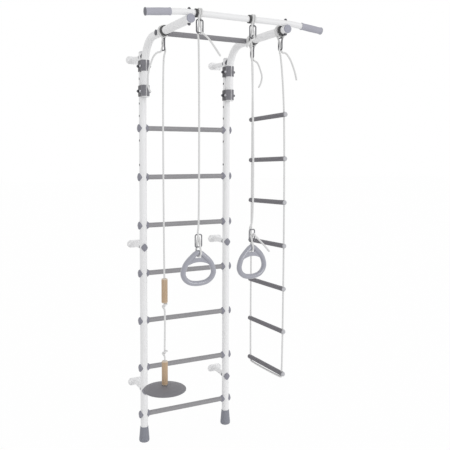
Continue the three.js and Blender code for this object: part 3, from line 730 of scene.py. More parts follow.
    @staticmethod
    def soften(piece: Piece, width: float, segments: int = 3, angle: float = 35.0) -> None:
        """Round the sharp edges and shade smooth.

        Args:
            piece: The piece.
            width: Width of the round.
            segments: Steps of the round.
            angle: Edges sharper than this are rounded, in degrees.
        """
        Bench.apply(piece, "BEVEL", width=width, segments=segments, limit_method="ANGLE",
                    angle_limit=math.radians(angle), use_clamp_overlap=True, harden_normals=False)
        Bench.smooth(piece)

    @staticmethod
    def smooth(piece: Piece, angle: float = 38.0) -> None:
        """Shade smooth up to an angle."""
        Bench.pick(piece)
        bpy.ops.object.shade_smooth_by_angle(angle=math.radians(angle))

    @staticmethod
    def cut(piece: Piece, *cutters: Piece, operation: str = "DIFFERENCE") -> None:
        """Cut, join or keep what cutters share with a piece, and throw the cutters away.

        Args:
            piece: The piece.
            cutters: What to cut with.
            operation: The boolean's operation.
        """
        for cutter in cutters:
            Bench.apply(piece, "BOOLEAN", object=cutter, operation=operation, solver="EXACT")
            Bench.scrap(cutter)

    @staticmethod
    def mark(piece: Piece, chosen: Callable[[Vector], bool]) -> None:
        """Mark the faces whose middle is chosen, for a finish with a second colour."""
        marks = piece.data.attributes.new("mark", "FLOAT", "FACE")
        marks.data.foreach_set("value", [float(chosen(face.center)) for face in piece.data.polygons])

    @staticmethod
    def join(*pieces: Piece) -> Piece:
        """Join pieces into the first one.

        Args:
            pieces: The pieces.

        Returns:
            The joined piece.
        """
        Bench.pick(*pieces)
        bpy.ops.object.join()
        return bpy.context.object

    @staticmethod
    def scrap(*pieces: Piece) -> None:
        """Throw pieces away that were only copied or used for cutting.

        Args:
            pieces: The pieces.
        """
        for piece in pieces:
            bpy.data.objects.remove(piece, do_unlink=True)

    @staticmethod
    def copy(piece: Piece) -> Piece:
        """Copy a piece with a mesh of its own.

        Args:
            piece: The piece.

        Returns:
            The copy.
        """
        twin = piece.copy()
        twin.data = piece.data.copy()
        bpy.context.collection.objects.link(twin)
        return twin

    @staticmethod
    def put(piece: Piece, at: Sequence[float], towards: Sequence[float] = UP, spin: float = 0.0) -> Piece:
        """Stand a piece at a point with its +Z towards a direction, and fix that in its mesh.

        Args:
            piece: The piece, made at the origin along +Z.
            at: Where its origin goes.
            towards: Where its +Z points.
            spin: Turn about its own Z first, in radians.

        Returns:
            The same piece.
        """
        aim = Vector(towards).normalized()
        if abs(aim.z) > STRAIGHT:
            turn = Matrix.Rotation(0.0 if aim.z > 0 else math.pi, 4, "X")
        else:
            turn = aim.to_track_quat("Z", "Y").to_matrix().to_4x4()
        piece.matrix_world = Matrix.Translation(Vector(at)) @ turn @ Matrix.Rotation(spin, 4, "Z")
        Bench.pick(piece)
        bpy.ops.object.transform_apply(location=True, rotation=True, scale=True)
        return piece

    @staticmethod
    def rod(start: Sequence[float], end: Sequence[float], radius: float, sides: int = 32) -> Piece:
        """A plain closed bar between two points, for cutting or as a shank."""
        span = Vector(end) - Vector(start)
        return Bench.put(Bench.drum(radius, 0, span.length, sides), start, span)

    @staticmethod
    def block(low: Sequence[float], high: Sequence[float]) -> Piece:
        """A box between two corners, for cutting.

        Args:
            low: Its lowest corner.
            high: Its highest corner.

        Returns:
            The new piece.
        """
        Bench.clear()
        middle = [(a + b) / 2 for a, b in zip(low, high)]
        bpy.ops.mesh.primitive_cube_add(size=1, location=middle)
        piece = bpy.context.object
        piece.scale = [b - a for a, b in zip(low, high)]
        bpy.ops.object.transform_apply(location=True, rotation=True, scale=True)
        return piece

    @staticmethod
    def drum(radius: float, low: float, high: float, sides: int = 48) -> Piece:
        """A plain closed cylinder about the Z axis."""
        return Bench.turned([(0, low), (radius, low), (radius, high), (0, high)], sides)

    @staticmethod
    def cap_nut(radius: float, height: float) -> Piece:
        """A hexagon head with a washer under it and a low dome on it, along +Z from its seat.

        Args:
            radius: Half the hexagon's width.
            height: From the seat to the dome's top.

        Returns:
            The new piece.
        """
        base, flat = height * 0.14, height * 0.62
        washer = Bench.drum(radius * 1.12, 0, base, 40)
        Bench.soften(washer, height * 0.05, 2)
        nut = Bench.drum(radius * 0.98, base, flat, 6)
        Bench.soften(nut, radius * 0.09, 2)
        dome = Bench.turned(scaled(DOME_SHARES, radius * 0.72, height), 32, shade=DOMED)
        return Bench.join(washer, nut, dome)


# ---------------------------------------------------------------- sub-assembly base


@dataclass
class SubAssembly:
    """A group of pieces that are made and dressed together."""

    paints: Paints
    plan: Plan = field(default=PLAN, kw_only=True)

    def dress(self, piece: Piece, name: str, paint: Paint, body: str, nodes: Sequence[str] = ()) -> None:
        """Name a piece, paint it and let it ride.

        Args:
            piece: The finished piece, with its place in its mesh.
            name: Its name.
            paint: Its finish.
            body: The body it rides on.
            nodes: The nodes it stands for.
        """
        piece.name = name
        piece.data.name = name
        piece.data.materials.clear()
        piece.data.materials.append(self.paints.get(paint))
        paint.slot
        if nodes:
            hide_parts(*nodes)
        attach(piece, body)
        log.info("%s: %d faces on %s", name, len(piece.data.polygons), body)

    def fit(self, shape: Piece, name: str, paint: Paint, body: str, node: Optional[str],
            at: Sequence[float], towards: Sequence[float] = UP, spin: float = 0.0) -> None:
        """Put a copy of a shape in its place and dress it.

        Args:
            shape: The shape, made at the origin along +Z, which stays as it is.
            name: The piece's name.
            paint: Its finish.
            body: The body it rides on.
            node: The node it stands for, if it stands for one.
            at: Where its origin goes.
            towards: Where its +Z points.
            spin: Turn about its own Z first, in radians.
        """
        piece = Bench.put(Bench.copy(shape), at, towards, spin)
        self.dress(piece, name, paint, body, [node] if node else [])

    def build(self) -> None:
        """Make every piece of the group."""
        raise NotImplementedError


# ---------------------------------------------------------------- standing frame


BOOT_SIDE = ((0, 0), (0.84, 0), (0.95, 0.0022), (1, 0.0065), (0.997, 0.014), (0.93, 0.034), (0.865, 0.056))
PLUG_SHARES = ((1, 0.2), (0.92, 0.5), (0.7, 0.8), (0.36, 0.96), (0, 1))


@dataclass
class Uprights(SubAssembly):
    """The two tubes, their end plugs and their rubber boots."""

    bottom: float = 0.006
    top: float = 2.027
    plug_dome: float = 0.010
    hole_radius: float = 0.0042
    hole_flare: float = 0.0022
    hole_steps: tuple[int, ...] = (-3, -1, 1, 2, 4)
    boot_height: float = 0.080
    boot_bottom: float = 0.027
    boot_top: float = 0.0215
    boot_rim: float = 0.007
    boot_lip: float = 0.0015
    boot_edge: float = 0.0007

    def tube(self) -> Piece:
        """The bored tube with its adjusting holes, at the origin.

        Returns:
            The tube along +Z.
        """
        outer, inner = self.plan.tube_radius, self.plan.tube_radius - self.plan.tube_wall
        low, high = self.bottom, self.top
        piece = Bench.turned([(outer, low), (outer, high), (inner, high), (inner, low)], FINE, bored=True)
        reach, hole, flare = self.plan.tube_radius * 2, self.hole_radius, self.hole_radius + self.hole_flare
        deep = outer - self.hole_flare
        drill = Bench.turned([(0, -reach), (flare, -reach), (flare, -outer), (hole, -deep), (hole, deep),
                              (flare, outer), (flare, reach), (0, reach)], 32)
        for step in self.hole_steps:
            height = self.plan.top_rung + step * self.plan.hole_pitch
            Bench.cut(piece, Bench.put(Bench.copy(drill), (0, 0, height), RIGHT))
        Bench.scrap(drill)
        Bench.smooth(piece)
        # painted shade: the bore and the hole walls are marked near-black, bare steel darkened further as shade
        rim = outer - self.plan.fit / 2
        Bench.mark(piece, lambda spot: math.hypot(spot.x, spot.y) < rim and low < spot.z < high)
        return piece

    def plug(self) -> Piece:
        """The domed plug with its collar on the tube's rim and its stem inside, at the origin.

        Returns:
            The plug at its own height.
        """
        outer, fit = self.plan.tube_radius, self.plan.fit
        stem, seat = outer - self.plan.tube_wall - fit, self.top + fit
        dome = scaled(PLUG_SHARES, outer, self.plug_dome, self.top)
        low = self.top - self.plug_dome
        return Bench.turned([(0, low), (stem, low), (stem, seat), (outer, seat), *dome], FINE, shade=DOMED)

    def boot(self) -> Piece:
        """The tapered boot with a rounded sole and a rolled rim, at the origin.

        Returns:
            The boot, standing on the floor.
        """
        bore, seat = self.plan.tube_radius + self.plan.fit, self.bottom - self.plan.fit
        tall, top = self.boot_height, self.boot_top
        piece = Bench.turned([
            *scaled(BOOT_SIDE, self.boot_bottom, 1.0), (top, tall - self.boot_rim), (top, tall - self.boot_lip),
            (top - self.boot_lip * 0.8, tall), (bore, tall), (bore, seat), (0, seat),
        ], FINE)
        Bench.soften(piece, self.boot_edge, 2)
        return piece

    def build(self) -> None:
        """Stand both sides."""
        tube, plug, boot = self.tube(), self.plug(), self.boot()
        for side in reversed(Side):
            word, at = side.word, (self.plan.post_x(side), 0, 0)
            self.fit(tube, f"{word}_upright_tube", Paint.TUBE, FRAME_BODY, f"{word}_upright", at)
            self.fit(plug, f"{word}_upright_plug", Paint.PLUG, FRAME_BODY, None, at)
            self.fit(boot, f"{word}_boot", Paint.FOOT, FRAME_BODY, f"{word}_foot", at)
        Bench.scrap(tube, plug, boot)


CAP_SHARES = ((1.0, 0.35), (0.985, 0.5), (0.93, 0.7), (0.8, 0.88), (0.55, 0.97), (0.25, 1.0))
COLLAR_SHARES = ((1.0, 0.12), (0.985, 0.25), (0.9, 0.5))


@dataclass
class SaddlePads(SubAssembly):
    """The rounded diamond pads that hug a tube: crowned caps and the thicker collars."""

    width: float = 0.033
    height: float = 0.041
    cap_thickness: float = 0.006
    collar_thickness: float = 0.012
    thin_cap: float = 0.003
    points: int = 48
    roundness: float = 1.45
    back_share: float = 0.1
    neck_share: float = 2.18
    seat_share: float = 0.7

    def outline(self, piece: Piece) -> None:
        """Shape a circle's points into the rounded diamond, wide along X and tall along Y.

        Args:
            piece: A circle of radius one.
        """
        for vertex in piece.data.vertices:
            turn = math.atan2(vertex.co.y, vertex.co.x)
            across, up = math.cos(turn), math.sin(turn)
            power = 2 / self.roundness
            vertex.co.x = math.copysign(abs(across) ** power, across) * self.width / 2
            vertex.co.y = math.copysign(abs(up) ** power, up) * self.height / 2

    def block(self, thickness: float, steps: Profile) -> Piece:
        """Raise the diamond through steps of size share and height, then hollow its back for the tube.

        Args:
            thickness: How far the pad stands beyond the tube.
            steps: Size share of the outline and height share of the thickness.

        Returns:
            The pad along +Z, with the tube's axis along Y at the origin.
        """
        radius = self.plan.tube_radius
        Bench.clear()
        bpy.ops.mesh.primitive_circle_add(vertices=self.points, radius=1, fill_type="NGON")
        piece = bpy.context.object
        self.outline(piece)
        Bench.edit(piece)
        share, height = 1.0, 0.0
        for next_share, rise in steps:
            level = radius + thickness * rise
            Bench.rise(level - height, next_share / share, level)
            share, height = next_share, level
        Bench.outward()
        reach = self.height
        Bench.cut(piece, Bench.rod((0, -reach, 0), (0, reach, 0), radius + self.plan.fit, FINE))
        Bench.edit(piece)
        back = (0, 0, radius * self.back_share)
        bpy.ops.mesh.bisect(plane_co=back, plane_no=UP, clear_inner=True, use_fill=True)
        Bench.clear()
        Bench.smooth(piece, 30)
        return piece

    def cap(self, thickness: float) -> Piece:
        """A crowned outer cap."""
        return self.block(thickness, CAP_SHARES)

    def collar(self, bar_radius: float) -> Piece:
        """A collar that narrows from the diamond to the bar."""
        neck = bar_radius * self.neck_share / self.height
        return self.block(self.collar_thickness, (*COLLAR_SHARES, (neck * 1.04, 0.82), (neck, 1.0)))


@dataclass
class WallBars(SaddlePads):
    """The seven wall bars with their collars and caps."""

    bar_radius: float = 0.01275
    rung_cap: float = 0.009

    def build(self) -> None:
        """Fit each bar between the uprights."""
        half = self.plan.half_spacing
        inner = half - self.plan.tube_radius - self.collar_thickness * self.seat_share
        bar = Bench.put(Bench.drum(self.bar_radius, 0, 2 * inner), (-inner, 0, 0), RIGHT)
        Bench.smooth(bar)
        pads = []
        for shape, inward in ((self.collar(self.bar_radius), True), (self.cap(self.rung_cap), False)):
            for side in Side:
                facing = -side.value if inward else side.value
                pads.append(Bench.put(Bench.copy(shape), (side.value * half, 0, 0), (facing, 0, 0)))
            Bench.scrap(shape)
        pads = Bench.join(*pads)
        for i in range(self.plan.rung_count):
            name, at = f"wall_bar_{i + 1}", (0, 0, self.plan.rung_first + i * self.plan.rung_pitch)
            self.fit(bar, f"{name}_bar", Paint.RUNG, FRAME_BODY, f"wall_bar_rung_{i + 1}", at)
            self.fit(pads, f"{name}_pads", Paint.PAD, FRAME_BODY, None, at)
        Bench.scrap(bar, pads)


STEM_WELD = ((1, 0.006), (1.06, 0.0025), (1.22, 0))
BUTTON_SHARES = ((0, 0), (1, 0), (1, 0.52), (0.9, 0.83), (0.51, 0.96), (0, 1))


@dataclass
class WallBrackets(SaddlePads):
    """The six brackets: wall plate, stem, saddle washer and front cap."""

    levels: tuple[float, ...] = (0.2765, 1.033, 2.0075)
    wall: float = 0.142
    plate_thickness: float = 0.004
    plate_length: float = 0.084
    plate_height: float = 0.040
    plate_edge: float = 0.0009
    hole_pitch: float = 0.059
    hole_radius: float = 0.003
    stem_radius: float = 0.0125
    button_radius: float = 0.0098
    button_height: float = 0.0023
    button_sunk: float = 0.0014

    def plate(self) -> Piece:
        """The round-ended wall plate with its screw holes and the stem, towards +Y.

        Returns:
            The plate and stem, with the tube's axis along Z at the origin.
        """
        half = (self.plate_length - self.plate_height) / 2
        back, front = self.wall, self.wall - self.plate_thickness
        end = self.plate_height / 2
        body, other = (Bench.rod((s * half, front, 0), (s * half, back, 0), end, FINE) for s in (-1, 1))
        Bench.cut(body, other, Bench.block((-half, front, -end), (half, back, end)), operation="UNION")
        for sign in (-1, 1):
            x = sign * self.hole_pitch / 2
            Bench.cut(body, Bench.rod((x, front - end, 0), (x, back + end, 0), self.hole_radius))
        Bench.soften(body, self.plate_edge, 2)
        start = self.plan.tube_radius + self.cap_thickness * 0.5
        radius, run = self.stem_radius, front - start + self.plate_thickness / 4
        stem = Bench.turned([(0, 0), (radius, 0), *scaled(STEM_WELD, radius, -1.0, run), (0, run)])
        Bench.smooth(stem)
        return Bench.join(body, Bench.put(stem, (0, start, 0), (0, 1, 0)))

    def build(self) -> None:
        """Fit three brackets to each upright."""
        plate = self.plate()
        washer = self.cap(self.cap_thickness)
        front = self.cap(self.cap_thickness)
        button = Bench.turned(scaled(BUTTON_SHARES, self.button_radius, self.button_height), 40)
        Bench.smooth(button)
        Bench.put(button, (0, 0, self.plan.tube_radius + self.cap_thickness - self.button_sunk))
        front = Bench.join(front, button)
        thin = self.cap(self.thin_cap)
        for side in Side:
            x = self.plan.post_x(side)
            for i, height in enumerate(self.levels):
                name, at = f"{side.word}_wall_bracket_{i + 1}", (x, 0, height)
                # painted shade: the top caps and all the washers take the darker copy of the pad
                cap, paint = (thin, Paint.DARK_PAD) if i == len(self.levels) - 1 else (front, Paint.PAD)
                self.fit(plate, f"{name}_plate", Paint.TUBE, FRAME_BODY, name, at)
                self.fit(washer, f"{name}_washer", Paint.DARK_PAD, FRAME_BODY, None, at, (0, 1, 0))
                self.fit(cap, f"{name}_cap", paint, FRAME_BODY, None, at, (0, -1, 0))
        Bench.scrap(plate, washer, front, thin)


# ---------------------------------------------------------------- gantry


END_PLUG_SHARES = ((0, 0), (1, 0), (1, 0.45), (0.95, 0.75), (0.84, 0.92), (0.62, 0.96), (0.56, 0.86),
                   (0.5, 0.86), (0.44, 0.96), (0.2, 1), (0, 1))


@dataclass
class Arms(SubAssembly):
    """The two bent tubes with their end plugs, and the clamps that hold them."""

    bottom: float = 1.802
    plug: float = 0.007
    foot_bore: float = 0.03
    bend_steps: int = 20
    clamp_height: float = 0.055
    clamp_wall: float = 0.0034
    clamp_gap: float = 0.0056
    clamp_edge: float = 0.0016
    slit_edge: float = 0.0006
    clamp_steps: tuple[int, ...] = (3, 5)
    dark_depth: float = 0.036
    bolt_drop: float = 0.003
    bolt_radius: float = 0.004
    head_radius: float = 0.0075
    head_height: float = 0.0085

    @property
    def clamp_face(self) -> float:
        """How far a clamp's sides stand from its tubes' plane."""
        return self.plan.tube_radius + self.clamp_wall

    def route(self) -> list[Vector]:
        """The arm's centre line at x = 0, from its foot to its front end.

        Returns:
            The line's points.
        """
        vertical = -self.plan.arm_setback
        radius, top = self.plan.bend_radius, self.plan.arm_height
        points = [Vector((0, vertical, self.bottom))]
        for i in range(self.bend_steps + 1):
            turn = math.pi / 2 * i / self.bend_steps
            points.append(Vector((0, vertical - radius + radius * math.cos(turn),
                                  top - radius + radius * math.sin(turn))))
        points.append(Vector((0, -self.plan.arm_reach, top)))
        return points

    def arm(self) -> Piece:
        """The bent tube with the seat for the pull-up bar, at x = 0.

        Returns:
            The arm.
        """
        piece = Bench.swept(self.route(), self.plan.tube_radius, FINE)
        start, deep = self.route()[0], Vector((0, 0, self.foot_bore))
        reach, depth, height = self.plan.tube_radius * 2, -self.plan.bar_depth, self.plan.bar_height
        bore, seat = self.plan.tube_radius - self.plan.tube_wall, self.plan.bar_radius + self.plan.fit
        Bench.cut(piece, Bench.rod(start - deep, start + deep, bore, 48),
                  Bench.rod((-reach, depth, height), (reach, depth, height), seat, 48))
        Bench.smooth(piece)
        return piece

    def end_plug(self) -> Piece:
        """The round plug with a raised rim and a low boss.

        Returns:
            The plug, in the arm's front end at x = 0.
        """
        piece = Bench.turned(scaled(END_PLUG_SHARES, self.plan.tube_radius, self.plug), FINE, shade=DOMED)
        return Bench.put(piece, (0, -self.plan.arm_reach, self.plan.arm_height), (0, -1, 0))

    def clamp_block(self, height: float) -> Piece:
        """Both halves of one clamp as a block round the two tubes, with its middle at z = 0.

        Args:
            height: Height of the clamp's middle, for the arm's bend.

        Returns:
            The block.
        """
        radius = self.clamp_face
        piece = Bench.put(Bench.drum(radius, 0, self.clamp_height, FINE), (0, 0, -self.clamp_height / 2))
        Bench.choose(piece, lambda spot: spot.y < self.plan.fit and math.hypot(spot.x, spot.y) > radius / 2)
        bpy.ops.transform.translate(value=(0, -self.plan.arm_setback, 0))
        Bench.soften(piece, self.clamp_edge, 3, 60)
        tall = self.clamp_height * 2
        room = self.plan.tube_radius + self.plan.fit
        arm = Bench.put(Bench.swept(self.route(), room, FINE), (0, 0, -height))
        Bench.cut(piece, Bench.rod((0, 0, -tall), (0, 0, tall), room, FINE), arm)
        return piece

    def clamp_half(self, block: Piece, side: Side) -> Piece:
        """Keep one half of a clamp block, short of the gap between the halves.

        Args:
            block: The whole clamp block.
            side: The half to keep.

        Returns:
            The half.
        """
        half = Bench.copy(block)
        Bench.edit(half)
        # cut an edge where the painted shade on the back part ends
        bpy.ops.mesh.bisect(plane_co=(0, -self.dark_depth, 0), plane_no=(0, 1, 0))
        bpy.ops.mesh.select_all(action="SELECT")
        slit = (side.value * self.clamp_gap / 2, 0, 0)
        bpy.ops.mesh.bisect(plane_co=slit, plane_no=(side.value, 0, 0), clear_inner=True, use_fill=True)
        Bench.outward()
        Bench.soften(half, self.slit_edge, 2, DOMED)
        # painted shade: the half's back part round the upright is painted darker than its front round the arm
        Bench.mark(half, lambda spot: spot.y > -self.dark_depth)
        return half

    def head(self, y: float, z: float, facing: int) -> Piece:
        """The head at one end of a clamp's bolt, beside the clamp's middle at the origin."""
        nut, face = Bench.cap_nut(self.head_radius, self.head_height), self.clamp_face + self.plan.fit
        return Bench.put(nut, (facing * face, y, z), (facing, 0, 0))

    def bolts(self) -> Piece:
        """A clamp's two through bolts with their dark heads, one of which is left to the head with the painted
        highlight.

        Returns:
            The bolts in one piece.
        """
        face, front = self.clamp_face, (-self.plan.arm_setback, -self.bolt_drop)
        parts = [Bench.rod((-face, y, z), (face, y, z), self.bolt_radius, 24) for y, z in ((0.0, 0.0), front)]
        parts += [self.head(0.0, 0.0, -1), self.head(0.0, 0.0, 1), self.head(*front, 1)]
        return Bench.join(*parts)

    def build(self) -> None:
        """Make both arms, then the clamps."""
        arm, plug = self.arm(), self.end_plug()
        for side in Side:
            word, at = side.word, (self.plan.post_x(side), 0, 0)
            self.fit(arm, f"{word}_arm_tube", Paint.TUBE, FRAME_BODY, f"{word}_arm", at)
            self.fit(plug, f"{word}_arm_plug", Paint.END_PLUG, FRAME_BODY, None, at)
        # painted highlight: the arm bolt's left head is a lighter copy of the bolt's zinc
        bolts, bright = self.bolts(), self.head(-self.plan.arm_setback, -self.bolt_drop, -1)
        for i, step in enumerate(self.clamp_steps):
            height = self.plan.top_rung + step * self.plan.hole_pitch
            block = self.clamp_block(height)
            halves = {side: self.clamp_half(block, side) for side in Side}
            for side in Side:
                name, at = f"{side.word}_clamp_{i + 1}", (self.plan.post_x(side), 0, height)
                for half in Side:
                    part = f"{name}_{half.word}"
                    self.fit(halves[half], f"{part}_shell", Paint.CLAMP, FRAME_BODY, f"{part}_half", at)
                self.fit(bolts, f"{name}_bolts", Paint.BOLT, FRAME_BODY, None, at)
                self.fit(bright, f"{name}_bright_head", Paint.BRIGHT, FRAME_BODY, None, at)
            Bench.scrap(block, *halves.values())
        Bench.scrap(arm, plug, bolts, bright)


CROSSBAR_CAP_SHARES = ((0, 0), (1, 0), (1, 0.4), (0.93, 0.72), (0.7, 0.92), (0.3, 1), (0, 1))


@dataclass
class Crossbar(SubAssembly):
    """The bar between the arms with its button caps."""

    radius: float = 0.01275
    depth: float = 0.247
    edge: float = 0.0008
    cap_radius: float = 0.014
    cap_height: float = 0.005

    def build(self) -> None:
        """Fit the bar and its caps."""
        inner = self.plan.half_spacing - self.plan.tube_radius - self.plan.fit
        bar = Bench.drum(self.radius, 0, 2 * inner)
        Bench.soften(bar, self.edge, 2)
        Bench.put(bar, (-inner, -self.depth, self.plan.arm_height), RIGHT)
        self.dress(bar, "crossbar_tube", Paint.CROSSBAR, FRAME_BODY, ["arm_crossbar"])
        face = self.plan.half_spacing + self.plan.tube_radius + self.plan.fit
        for side in Side:
            cap = Bench.turned(scaled(CROSSBAR_CAP_SHARES, self.cap_radius, self.cap_height), shade=DOMED)
            Bench.put(cap, (side.value * face, -self.depth, self.plan.arm_height), (side.value, 0, 0))
            # painted shade: both caps take the darker copy of the pad
            self.dress(cap, f"crossbar_{side.word}_cap", Paint.DARK_PAD, FRAME_BODY)


@dataclass
class PullUpBar(SubAssembly):
    """The drooped bar with its bolts and soft grips."""

    straight: float = 0.550
    span: float = 0.872
    droop: float = 0.017
    bend_share: float = 0.16
    nut_radius: float = 0.007
    nut_height: float = 0.008
    grip_length: float = 0.112
    grip_wall: float = 0.0016
    flange: float = 0.017
    bend_steps: int = 8

    def route(self) -> list[Vector]:
        """The bar's centre line with its two soft bends.

        Returns:
            The line's points, from left to right.
        """
        run = (self.span - self.straight) / 2
        right: list[Vector] = []
        soft = run * self.bend_share
        slope = self.droop / run
        for i in range(self.bend_steps + 1):
            share = i / self.bend_steps
            x = self.straight / 2 - soft + 2 * soft * share
            drop = slope * soft * share * share
            right.append(Vector((x, -self.plan.bar_depth, self.plan.bar_height - drop)))
        right.append(Vector((self.span / 2, -self.plan.bar_depth, self.plan.bar_height - self.droop)))
        left = [Vector((-p.x, p.y, p.z)) for p in reversed(right)]
        return left + right

    def grip(self) -> Piece:
        """A soft sleeve that swells in its middle and flares at both ends, from its closed end along +Z.

        Returns:
            The grip.
        """
        wall, fit, long, flange = self.grip_wall, self.plan.fit, self.grip_length, self.flange
        bore, outer = self.plan.bar_radius + fit, self.plan.bar_radius + wall
        piece = Bench.turned([
            (0, -wall), (flange * 0.86, -wall), (flange * 0.97, -wall * 0.6), (flange, wall * 0.6),
            (flange * 0.98, 0.0028), (outer * 1.03, 0.0062), (outer, 0.012),
            *scaled(((1.02, 0.3), (1.045, 0.52), (1.02, 0.74)), outer, long),
            (outer, long - 0.014), (outer * 1.03, long - 0.008), (flange * 0.95, long - 0.0035),
            (flange * 0.97, long - 0.0012), (flange * 0.93, long), (bore, long), (bore, -fit), (0, -fit),
        ], FINE, shade=55)
        # painted shade: the closed outer end face is painted darker
        Bench.mark(piece, lambda spot: spot.z < self.grip_wall)
        return piece

    def build(self) -> None:
        """Make the bar, its bolts and both grips."""
        route = self.route()
        bar = Bench.swept(route, self.plan.bar_radius, FINE)
        Bench.smooth(bar)
        self.dress(bar, "pull_up_tube", Paint.TUBE, FRAME_BODY, ["pull_up_bar"])
        slant = math.atan2(self.droop, (self.span - self.straight) / 2)
        for side in Side:
            x, y = self.plan.post_x(side), -self.plan.bar_depth
            top = self.plan.bar_height + self.plan.bar_radius - self.plan.fit
            bottom = self.plan.arm_height - self.plan.tube_radius - self.plan.fit
            nuts = [Bench.put(Bench.cap_nut(self.nut_radius, self.nut_height), (x, y, height), (0, 0, facing))
                    for height, facing in ((top, 1), (bottom, -1))]
            self.dress(Bench.join(*nuts), f"{side.word}_bar_bolt", Paint.BOLT, FRAME_BODY)
            end = route[0] if side is Side.LEFT else route[-1]
            inward = (-side.value * math.cos(slant), 0, math.sin(slant))
            self.dress(Bench.put(self.grip(), end, inward), f"{side.word}_grip_sleeve", Paint.GRIP, FRAME_BODY,
                       [f"{side.word}_grip"])


# ---------------------------------------------------------------- ropes and hangers


@dataclass(frozen=True)
class Link:
    """A steel wire frame: its size and the room that a rope needs past it."""

    width: float = 0.036
    height: float = 0.060
    wire: float = 0.0055
    corner: float = 0.007

    def route(self, steps: int = 8) -> list[Vector]:
        """The wire's closed centre line in the XZ plane, about its middle.

        Args:
            steps: Steps round each corner.

        Returns:
            The line's points.
        """
        half, tall = (self.width - self.wire) / 2, (self.height - self.wire) / 2
        points = []
        for quarter, (sx, sz) in enumerate(((1, 1), (-1, 1), (-1, -1), (1, -1))):
            for i in range(steps + 1):
                turn = math.pi / 2 * (quarter + i / steps)
                points.append(Vector((sx * (half - self.corner) + self.corner * math.cos(turn), 0,
                                      sz * (tall - self.corner) + self.corner * math.sin(turn))))
        return points

    def shape(self) -> Piece:
        """The link, standing about the origin.

        Returns:
            The new piece.
        """
        piece = Bench.swept(self.route(), self.wire / 2, 24, closed=True)
        Bench.smooth(piece)
        return piece


LINK = Link()
ROPE_GAP = 0.0005
STRAND_OFFSET = PLAN.rope_radius + ROPE_GAP * 1.4
PASS_OFFSET = LINK.wire / 2 + PLAN.rope_radius + ROPE_GAP
PASS_SHARE = 0.7
WIND_PITCH = PLAN.rope_radius * 2 + ROPE_GAP * 2


@dataclass(frozen=True)
class Hanger:
    """Where a rope is wound round a tube, with its link below."""

    along: Along
    tube_radius: float
    across: float
    height: float
    line: float
    link_drop: float
    lean: int = 1
    loop_steps: int = 28

    def world(self, u: float, v: float, w: float) -> Vector:
        """Turn a place square to the tube, along it and up from its axis into the frame's.

        Args:
            u: Square to the tube.
            v: Along the tube.
            w: Up from the tube's axis.

        Returns:
            The place in the frame.
        """
        if self.along is Along.X:
            return Vector((self.line + v, self.across - self.lean * u, self.height + w))
        return Vector((self.across + self.lean * u, self.line + v, self.height + w))

    def winding(self) -> tuple[float, float, float, float, float]:
        """The winding's radius, link top, first and last turn and how far it spreads along the tube.

        Returns:
            The winding's radius, the link's top, the first and last turn in radians and the spread.
        """
        radius = self.tube_radius + ROPE_GAP + PLAN.rope_radius
        link_top = -self.link_drop - LINK.wire / 2
        distance = math.hypot(PASS_OFFSET, link_top)
        first = math.atan2(link_top, PASS_OFFSET) + math.acos(radius / distance)
        last = 3 * math.pi - first
        return radius, link_top, first, last, WIND_PITCH * (last - first) / (2 * math.pi)

    def route(self) -> list[Vector]:
        """From the standing part, up through the link, round the tube and down through the link again.

        Returns:
            The line's points.
        """
        radius, link_top, first, last, advance = self.winding()
        bottom = link_top - LINK.height + LINK.wire
        middle = (link_top + bottom) / 2
        near, rise = PASS_OFFSET * PASS_SHARE, LINK.wire * 2
        local = [
            (0, -STRAND_OFFSET, bottom - LINK.width), (-near, -STRAND_OFFSET, bottom - rise),
            (-PASS_OFFSET, -STRAND_OFFSET, bottom), (-near, -STRAND_OFFSET, bottom + rise),
            (0, -STRAND_OFFSET, middle), (near, -STRAND_OFFSET, link_top - rise),
            (PASS_OFFSET, -advance / 2, link_top),
        ]
        count = round((last - first) / (2 * math.pi) * self.loop_steps)
        for i in range(count + 1):
            share = i / count
            turn = first + (last - first) * share
            local.append((radius * math.cos(turn), advance * (share - 0.5), radius * math.sin(turn)))
        local += [
            (-PASS_OFFSET, advance / 2, link_top), (-near, STRAND_OFFSET, link_top - rise),
            (0, STRAND_OFFSET, middle), (near, STRAND_OFFSET, bottom + rise),
            (PASS_OFFSET, STRAND_OFFSET, bottom),
        ]
        return [self.world(*spot) for spot in local]


HANGERS = {
    "disc_rope": Hanger(Along.Y, PLAN.tube_radius, -PLAN.half_spacing, PLAN.arm_height, -0.293, 0.031, -1),
    "left_ring_rope": Hanger(Along.X, PLAN.bar_radius, -PLAN.bar_depth, PLAN.bar_height, -0.1908, 0.024),
    "right_ring_rope": Hanger(Along.X, PLAN.bar_radius, -PLAN.bar_depth, PLAN.bar_height, 0.069, 0.024),
    "ladder_back": Hanger(Along.Y, PLAN.tube_radius, PLAN.half_spacing, PLAN.arm_height, -0.283, 0.029),
    "ladder_front": Hanger(Along.Y, PLAN.tube_radius, PLAN.half_spacing, PLAN.arm_height, -0.548, 0.029),
}


